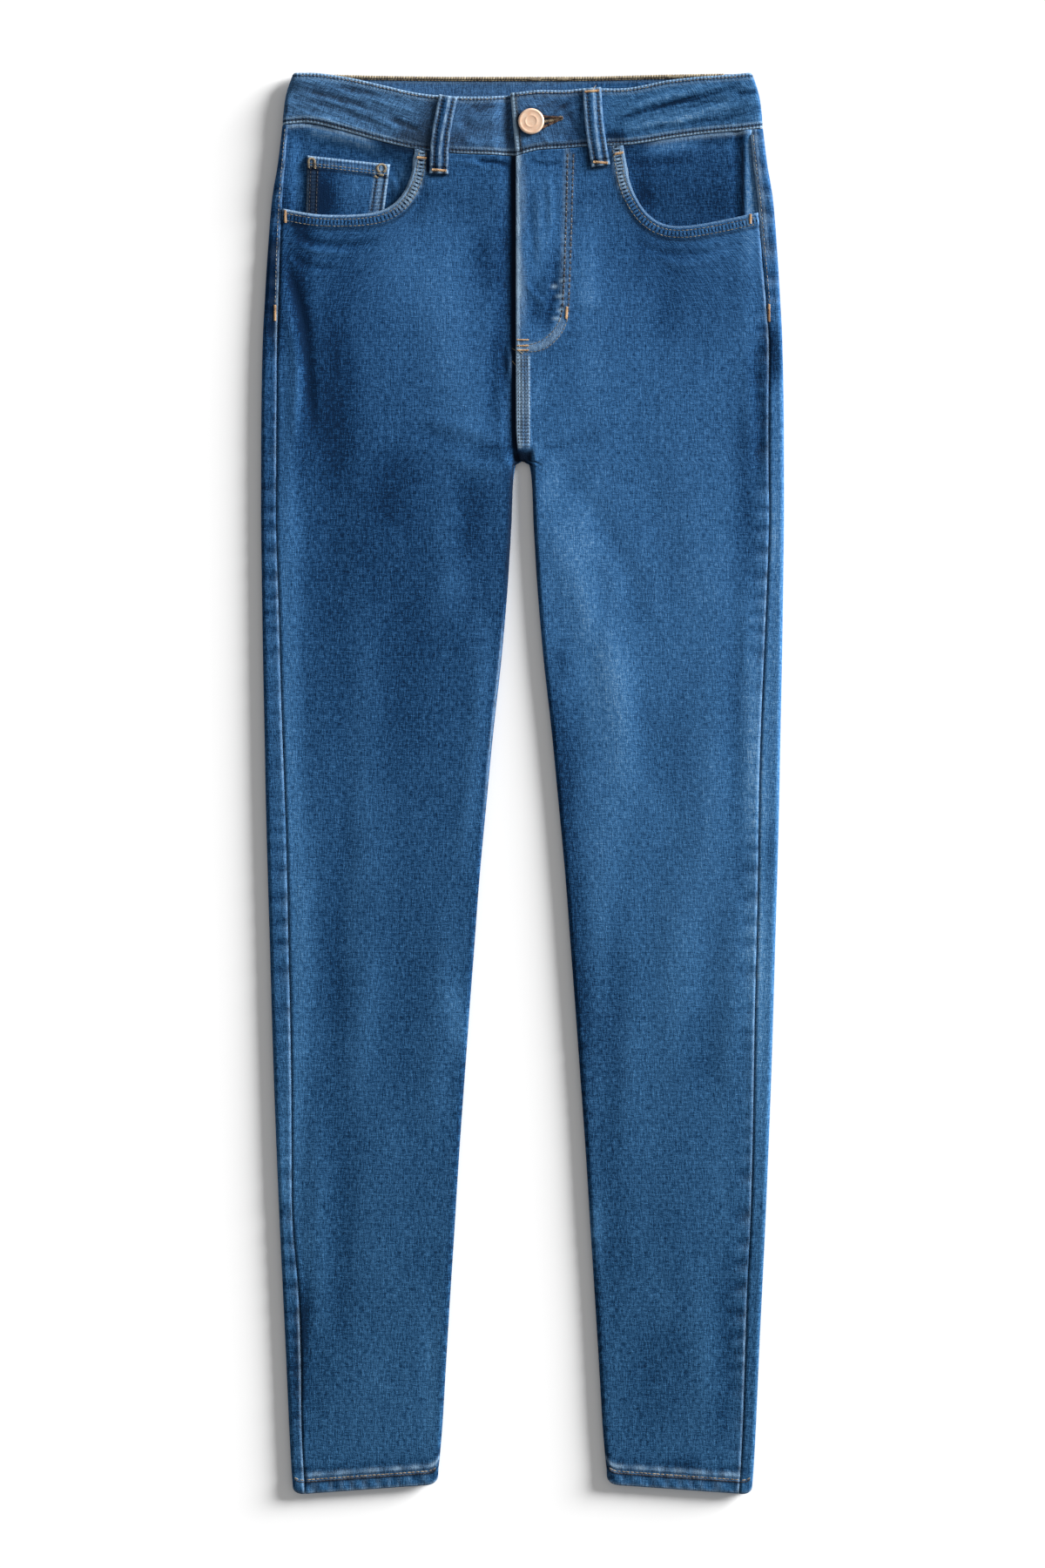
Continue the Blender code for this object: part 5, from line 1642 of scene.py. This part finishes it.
def threadFinish(name, light, deep):
    # light and deep are the two colours that an old thread varies between
    finish = Finish(name)
    fade = finish.noise(finish.place(), (4.0, 4.0, 4.0))
    twist = finish.noise(finish.place(), (0.28, 0.28, 0.5), 1.0)
    colour = finish.mix(finish.share(fade + (twist - 0.5) * 0.8, 0.3, 0.7), deep, light)
    finish.set(Base_Color=colour, Roughness=twist * 0.2 + 0.55, Specular_IOR_Level=0.3)
    finish.bump(twist, 0.0002, 0.7)
    return finish.material


def metalFinish():
    finish = Finish("copper_button")
    cloud = finish.noise(finish.place(), (3.5, 3.5, 3.5), 3.0)
    brushed = finish.noise(finish.place(), (0.4, 0.4, 0.4))
    # bright colours on a base that is partly diffuse: painted brightness in place of a reflection of the
    # studio
    stops = [(0.3, (0.84, 0.50, 0.33)), (0.55, (0.93, 0.66, 0.48)), (0.75, (0.96, 0.78, 0.62))]
    colour = finish.ramp(stops, cloud * 0.8 + brushed * 0.2)
    finish.set(Base_Color=colour, Metallic=0.45, Roughness=brushed * 0.16 + 0.26)
    finish.bump(brushed, 0.0001, 0.25)
    return finish.material


thread = {"pitch": 3.0, "length": 2.35, "width": 0.62, "height": 0.36, "sunk": 0.06}


def stitchForm():
    # one small rounded bar along X: its corners and its faces
    form = bmesh.new()
    upright = Matrix.Rotation(math.pi / 2, 4, "Y")
    bmesh.ops.create_uvsphere(form, u_segments=6, v_segments=5, radius=1.0, matrix=upright)
    form.verts.index_update()
    corners = np.array([tuple(point.co) for point in form.verts])
    faces = [[point.index for point in face.verts] for face in form.faces]
    form.free()
    return corners, faces


stitchCorners, stitchFaces = stitchForm()


def landed(surface, x, y, size):
    # where a stitch meets its piece, and the way out from there; with no piece it lies at a set level
    if surface is None:
        return Vector((x, y, size["level"])) * mm, Vector((0, 0, 1))
    side = -1 if size["below"] else 1
    start, towards = Vector((x * mm, y * mm, side * 0.05)), Vector((0, 0, -side))
    spot, normal, _, _ = surfaces["denim_" + surface].ray_cast(start, towards)
    return spot, normal if spot is None or normal.z * side > 0 else -normal


def layStitches(name, finish, rows):
    # rows: (piece, route, changes to thread); each stitch is a small rounded bar along its row
    corners, faces = [], []
    for surface, route, changes in rows:
        size = {"below": False, "turn": 0.0, "shift": 0.0, **thread, **changes}
        if size["below"]:
            size["sunk"] = 0.65 * size["height"]
        runs, ahead = runsOf(route), np.gradient(route, axis=0)
        count = max(1, int(round(runs[-1] / size["pitch"])))
        for n in range(count):
            place = (n + 0.5 + size["shift"] + chance.uniform(-0.08, 0.08)) / count * runs[-1]
            x, y, dx, dy = (np.interp(place, runs, row) for row in (*route.T, *ahead.T))
            spot, normal = landed(surface, x, y, size)
            if spot is None:
                continue
            turn = math.radians(size["turn"] + chance.uniform(-4, 4))
            along = Matrix.Rotation(turn, 3, "Z") @ Vector((dx, dy, 0))
            along = (along - normal * along.dot(normal)).normalized()
            axes = np.array([along, normal.cross(along), normal])
            length = size["length"] * chance.uniform(0.9, 1.1)
            reach = np.array([length, size["width"], size["height"]]) * mm / 2
            centre = np.array(spot + normal * (0.2 * size["height"] - size["sunk"]) * mm)
            first = len(corners) * len(stitchCorners)
            corners.append(centre + (stitchCorners * reach) @ axes)
            faces += [[first + n for n in face] for face in stitchFaces]
    mesh = bpy.data.meshes.new(name)
    mesh.from_pydata(np.concatenate(corners).tolist(), [], faces)
    mesh.shade_smooth()
    mesh.materials.append(finish)
    piece = placed(name, mesh)
    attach(piece, "root")


def barTack(surface, centre, turn, length, width=2.0, **changes):
    # short threads laid close across a bar
    angle = math.radians(turn)
    half = np.array([math.cos(angle), math.sin(angle)]) * length / 2
    route = np.linspace(np.array(centre) - half, np.array(centre) + half, 12)
    close = {"pitch": 0.55, "length": width, "width": 0.6, "height": 0.7, "turn": 78.0, "sunk": 0.0}
    return surface, route, {**close, **changes}


def bandRoute(curve, start, end, distance):
    # a line a set distance from a waistband edge, leaning in with the sides of the waist
    x = np.linspace(start, end, max(2, int(abs(end - start) / 2)))
    y = curve(x) + distance
    radius = (cloth["bandHeight"] - cloth["backLift"]) / 2
    factor = np.where(np.abs(x) > band["slantFrom"], (outerAt(y) - radius) / band["sideFold"], 1.0)
    return np.stack([x * factor, y], axis=1)


def hemRoute(side, below):
    # along a hem, at the depth of its stitches
    base = cloth["hem"] + cloth["hemDepth"]
    inside, outside = innerAt(base) + 2.0, outerAt(base) - (4.0 if below else 2.0)
    x = side * np.linspace(inside, outside, 60)
    return np.stack([x, base + hemShift(x, cloth["hem"])], axis=1)


def sewBand():
    # along both edges of the waistband, front and back, and across the tab's end
    inwards = band["stitches"]
    layStitches("stitching_waist_top", faded, [
        ("waistband", bandRoute(topEdgeAt[-1], -163, -12, -inwards), {}),
        ("waistband", bandRoute(topEdgeAt[1], -5, 163, -inwards), {}),
    ])
    layStitches("stitching_waistband", navy, [
        ("waistband", bandRoute(waistAt[-1], -163, -9, inwards), {}),
        ("waistband", bandRoute(waistAt[1], -2, 163, inwards), {}),
        ("waistband", line((tabEnds["top"] + 3.9, 492.6), (tabEnds["seam"] + 3.9, 454.0)), {}),
        ("waistband", bandRoute(topBackAt, -160, 160, -inwards), {"below": True}),
        ("waistband", bandRoute(waistBackAt, -160, 160, inwards), {"below": True}),
    ])


coinSewing = {
    "topRows": (5.6, 7.5),       # below the top edge
    "outerRows": (2.4, 7.4),     # in from the two sides
    "innerRows": (2.7, 8.4),
    "from": 8.0,                 # the side rows start this far below the top edge
    "to": 408.0,                 # and end at this height
}


def sewPockets():
    # two rows beside each mouth, two under the coin pocket's top edge, and two up each of its sides
    rows = []
    for side in (-1, 1):
        for distance in front["mouthRows"]:
            route = beside(mouthRoutes[side], -side * distance)
            route = route[np.abs(route[:, 0]) < seamAt[side](410) - 2.5]
            rows.append(("front_" + words[side], route[4:], {}))
    (outerX, outerY), (innerX, innerY) = pocket["coinTop"]
    for down in coinSewing["topRows"]:
        start, end = (outerX + 1.5, outerY - down - 0.1), (innerX - 1.5, innerY - down - 0.1)
        rows.append(("coin_pocket", line(start, end), {}))
    layStitches("stitching_pockets", tan, rows)
    outerLow, innerLow = pocket["coinSides"]
    places = [(outerX, outerY, outerLow, across) for across in coinSewing["outerRows"]]
    places += [(innerX, innerY, innerLow, -across) for across in coinSewing["innerRows"]]
    layStitches("stitching_coin_pocket", navy, [
        ("coin_pocket", line((x + across, y - coinSewing["from"]), (low + across, coinSewing["to"])), {})
        for x, y, low, across in places
    ])


flySewing = {
    "columns": {"pitch": 4.3, "length": 2.5, "width": 1.7, "height": 0.3, "sunk": 0.05},
    "knots": {"pitch": 4.3, "length": 1.2, "width": 0.7, "shift": 0.5},
    "rise": {"pitch": 2.6, "length": 2.0, "width": 0.5},
    "riseRows": (-2.6, -0.3, 2.0, 4.2),
}


def sewFly():
    # two rows round the foot of the fly and up beside it, with worn knots, and four down the rise
    routes = [flyOuter[2:-3], flyInner[2:-3]]
    curved = [route[route[:, 1] < fly["turn"]] for route in routes]
    straight = [route[route[:, 1] > fly["turn"] - 1] for route in routes]
    layStitches("stitching_fly", tan, [("front_left", route, {}) for route in curved])
    for kind, finish in (("columns", navy), ("knots", faded)):
        rows = [("front_left", route, flySewing[kind]) for route in straight]
        layStitches("stitching_fly_" + kind, finish, rows)
    layStitches("stitching_rise", navy, [
        ("front_left", line((x - 0.4, 308.0), (x - 0.2, 280.0), (x, 244.0)), flySewing["rise"])
        for x in flySewing["riseRows"]
    ])


def sewSeams():
    # down each outseam as far as its tack, and two rows down the centre back
    rows = []
    for side, top in ((-1, 470.0), (1, 466.0)):
        up = np.linspace(top, outseam["tack"] + 7, 60)
        route = np.stack([side * (seamAt[side](up) + 2.4), up], axis=1)
        rows.append(("back_" + words[side], route, {"width": 0.5}))
    for across in (1.4, 6.6):
        rows.append(("back_left", line((across, 462.0), (across, 236.0)), {"below": True}))
    layStitches("stitching_seams", faded, rows)


hemSewing = {
    "stitching_hems": {"pitch": 3.1, "length": 3.0, "width": 0.9, "height": 0.45},
    "stitching_hems_shadow": {"pitch": 2.6, "length": 3.0, "width": 1.0, "height": 0.3},
}
hemShadowBelow = 1.3


def sewHems():
    # a golden row round each hem, with a close row of navy thread below it as its painted shadow
    rows = []
    for side in (-1, 1):
        route = hemRoute(side, False)
        onFront = np.abs(route[:, 0]) < seamAt[side](-500) - 0.4
        rows.append(("front_" + words[side], route[onFront], {}))
        rows.append(("back_" + words[side], route[~onFront], {}))
        rows.append(("back_" + words[side], hemRoute(side, True), {"below": True}))
    finishes = {"stitching_hems": (gold, 0.0), "stitching_hems_shadow": (navy, hemShadowBelow)}
    for name, (finish, down) in finishes.items():
        layStitches(name, finish, [
            (surface, route - (0, down), {**hemSewing[name], **changes}) for surface, route, changes in rows
        ])


def sewLoops():
    # two rows up each belt loop
    rows = []
    for name, centre in loopCentres.items():
        changes = {"below": "front" not in name, "width": 0.5, "pitch": 3.2}
        for distance in (-loop["stitches"], loop["stitches"]):
            rows.append((name, beside(routeThrough(centre)[4:-4], distance), changes))
    layStitches("stitching_loops", navy, rows)


def sewTacks():
    # the bar tacks at the ends of the belt loops, the pocket mouths, the outseams and the fly
    tacks = []
    for name, centre in loopCentres.items():
        below, route = "front" not in name, routeThrough(centre)
        tacks.append(barTack(name, route[-6], -4, 10.5, below=below))
        if name != "belt_loop_front_right":
            tacks.append(barTack(name, route[5], 4, 10.5, below=below))
    tacks += [
        barTack("front_right", (-72.3, 449.0), -4, 7.0),
        barTack("front_right", (-170.2, 407.2), 90, 9.0),
        barTack("front_left", (69.2, 452.2), 12, 6.4),
        barTack("front_left", (163.6, 406.2), 90, 8.6),
        barTack("back_right", (-177.6, outseam["tack"]), 90, 11.5),
        barTack("back_left", (177.0, outseam["tack"]), 90, 12.5),
        barTack("front_left", (31.6, 338.0), 86, 8.8),
    ]
    tacks += [barTack("front_left", (0.2, up), 0, 8.4, 1.3) for up in (318.6, 314.4, 311.2)]
    layStitches("bar_tacks", orange, tacks)


def sewKnots():
    # the worn, knotted tacks at the coin pocket's corners, and loose ends of thread
    knotted = {"pitch": 0.75, "length": 2.2, "width": 0.75, "height": 0.9, "turn": 62.0, "sunk": 0.0}
    layStitches("knotted_tacks", beige, [
        ("coin_pocket", ring((-151.4, 446.6), 2.3, -30, 210), knotted),
        ("coin_pocket", line((-149.2, 446.0), (-149.0, 441.5)), {**knotted, "width": 0.55}),
        ("coin_pocket", line((-153.6, 446.0), (-153.4, 442.0)), {**knotted, "width": 0.55}),
        ("coin_pocket", ring((-101.2, 441.6), 3.0, -60, 250), {**knotted, "width": 0.9}),
        ("coin_pocket", line((-102.8, 437.4), (-99.8, 436.4)), knotted),
        ("coin_pocket", line((-106.4, 436.4), (-104.0, 434.6)), {**knotted, "width": 0.5}),
    ])
    looseEnd = {"pitch": 6.0, "length": 5.4, "width": 0.42, "height": 0.42, "turn": 0.0, "sunk": -0.2}
    layStitches("loose_ends", beige, [
        ("front_right", line((-7.4, 312.6), (-2.6, 309.8)), looseEnd),
        ("front_right", line((-7.6, 303.6), (-4.2, 299.8)), looseEnd),
        ("front_left", line((-3.4, 311.0), (0.6, 308.4)), looseEnd),
        ("belt_loop_front_left", line((50.6, 497.8), (52.4, 500.6)), looseEnd),
    ])


def sewBackEdge():
    # the chain stitch and tacks on the inner side of the back, which show above the front waistband
    inside, half = cloth["backLift"] + cloth["bandWall"], 148
    upper, lower = bandRoute(topBackAt, -half, half, -0.9), bandRoute(topBackAt, -half, half, -2.4)
    rows = [
        (None, upper, {"level": inside + 0.7, "pitch": 1.9, "length": 2.5, "width": 2.4, "height": 0.7}),
        (None, lower, {"level": inside + 0.3, "pitch": 2.4, "width": 1.1}),
    ]
    for across, length in ((9.0, 8.0), (30.0, 10.0), (110.0, 10.0), (-126.0, 8.0)):
        rows.append(barTack(None, (across, topBackAt(across) - 1.4), 0, length, 2.2, level=inside + 0.8))
    layStitches("chain_stitch", beige, rows)


def sewButtonhole():
    # close stitches along both lips, and pale threads inside the slit and round its keyhole end
    (tipX, tipY), slope, spread = (buttonhole[key] for key in ("tip", "slope", "spread"))
    rows = []
    for lip in (-1, 1):
        drop = slope - lip * spread
        points = [(tipX - inwards, tipY - drop * inwards) for inwards in (15.0, 11.0, 6.0, 2.0, 0.0)]
        close = {"pitch": 0.62, "length": 2.3, "width": 0.6, "height": 0.8, "turn": 80.0 * lip, "sunk": -0.1}
        rows.append(("waistband", line(*points), close))
    layStitches("buttonhole", brown, rows)
    within = {"pitch": 1.15, "length": 3.2, "width": 0.9, "height": 0.8, "turn": 48.0, "sunk": 0.0}
    slit = line((tipX - 14, tipY - slope * 14), (tipX - 3, tipY - slope * 3))
    keyhole = ring((tipX - 1.6, tipY - 0.2), 1.1, 0, 330)
    layStitches("buttonhole_filling", beige, [
        ("waistband", slit, within),
        ("waistband", keyhole, {**within, "pitch": 0.8, "length": 1.8}),
    ])


pieces = {}
for side in (-1, 1):
    pieces["front_" + words[side]] = frontPanel(side)
    pieces["back_" + words[side]] = backPanel(side)
    pieces["pocket_facing_" + words[side]] = pocketFacing(side)
print("panels and facings made")
pieces["coin_pocket"] = coinPocket()
pieces["waistband"] = waistband()
for name, centre in loopCentres.items():
    pieces[name] = beltLoop(name, centre)
print("waistband, coin pocket and loops made")

denim, reverse = denimFinish(), reverseFinish()
for node, piece in pieces.items():
    piece.data.materials.append(denim)
    if node.startswith(("front", "back", "pocket")):
        piece.data.materials.append(reverse)
        piece.modifiers["wall"].material_offset = 1
    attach(piece, "root")
    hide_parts(node)

pieces["button"] = flyButton()
pieces["button"].data.materials.append(metalFinish())
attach(pieces["button"], "root")
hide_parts("button")
print("button made")

navy = threadFinish("thread_navy", (0.040, 0.042, 0.050), (0.004, 0.006, 0.014))
faded = threadFinish("thread_faded", (0.300, 0.300, 0.280), (0.016, 0.018, 0.028))
tan = threadFinish("thread_tan", (0.260, 0.240, 0.180), (0.026, 0.028, 0.032))
gold = threadFinish("thread_gold", (0.270, 0.215, 0.140), (0.046, 0.034, 0.026))
brown = threadFinish("thread_brown", (0.190, 0.105, 0.062), (0.026, 0.016, 0.020))
orange = threadFinish("thread_orange", (0.600, 0.400, 0.220), (0.300, 0.165, 0.080))
beige = threadFinish("thread_beige", (0.360, 0.300, 0.200), (0.120, 0.090, 0.062))

sewBand()
sewPockets()
sewFly()
sewSeams()
sewHems()
sewLoops()
sewTacks()
sewKnots()
sewBackEdge()
sewButtonhole()
print("stitches sewn")

studio = {
    "frameHeight": 1.125,        # metres of floor along the photograph's height
    "lens": 100.0,
    "sensor": 36.0,
    "floor": 0.86,
    "floorSize": 6.0,
    "floorLevel": -0.0002,       # just under the jeans
    "keyFrom": (28.0, 12.0),     # degrees: towards the upper right, and above the floor
    "keySoftness": 28.0,
    "keyPower": 13.2,
    "world": 0.37,
}

ground = bmesh.new()
bmesh.ops.create_grid(ground, x_segments=1, y_segments=1, size=studio["floorSize"])
bmesh.ops.translate(ground, verts=ground.verts, vec=(0, 0, studio["floorLevel"]))
floor = placed("floor", meshOf(ground, "floor"))
paper = Finish("studio_paper")
paper.set(Base_Color=(studio["floor"], studio["floor"], studio["floor"], 1.0), Roughness=0.9)
floor.data.materials.append(paper.material)

key = bpy.data.lights.new("key", "SUN")
key.energy = studio["keyPower"]
key.angle = math.radians(studio["keySoftness"])
keyLamp = placed("key", key)
turn, height = (math.radians(angle) for angle in studio["keyFrom"])
towards = Vector((math.cos(height) * math.cos(turn), math.cos(height) * math.sin(turn), math.sin(height)))
keyLamp.rotation_euler = towards.to_track_quat("Z", "Y").to_euler()

world = bpy.data.worlds.new("studio")
bpy.context.scene.world = world
world.use_nodes = True
background = world.node_tree.nodes["Background"]
background.inputs["Color"].default_value = (1, 1, 1, 1)
background.inputs["Strength"].default_value = studio["world"]
bpy.context.scene.view_settings.view_transform = "Standard"

camera = bpy.data.cameras.new("camera")
camera.lens = studio["lens"]
camera.sensor_width = studio["sensor"]
cameraPost = placed("camera", camera)
away = studio["frameHeight"] * studio["lens"] / studio["sensor"]
cameraPost.location = (0, 0, away + cloth["legHeight"] * mm)
bpy.context.scene.camera = cameraPost
print("studio set")
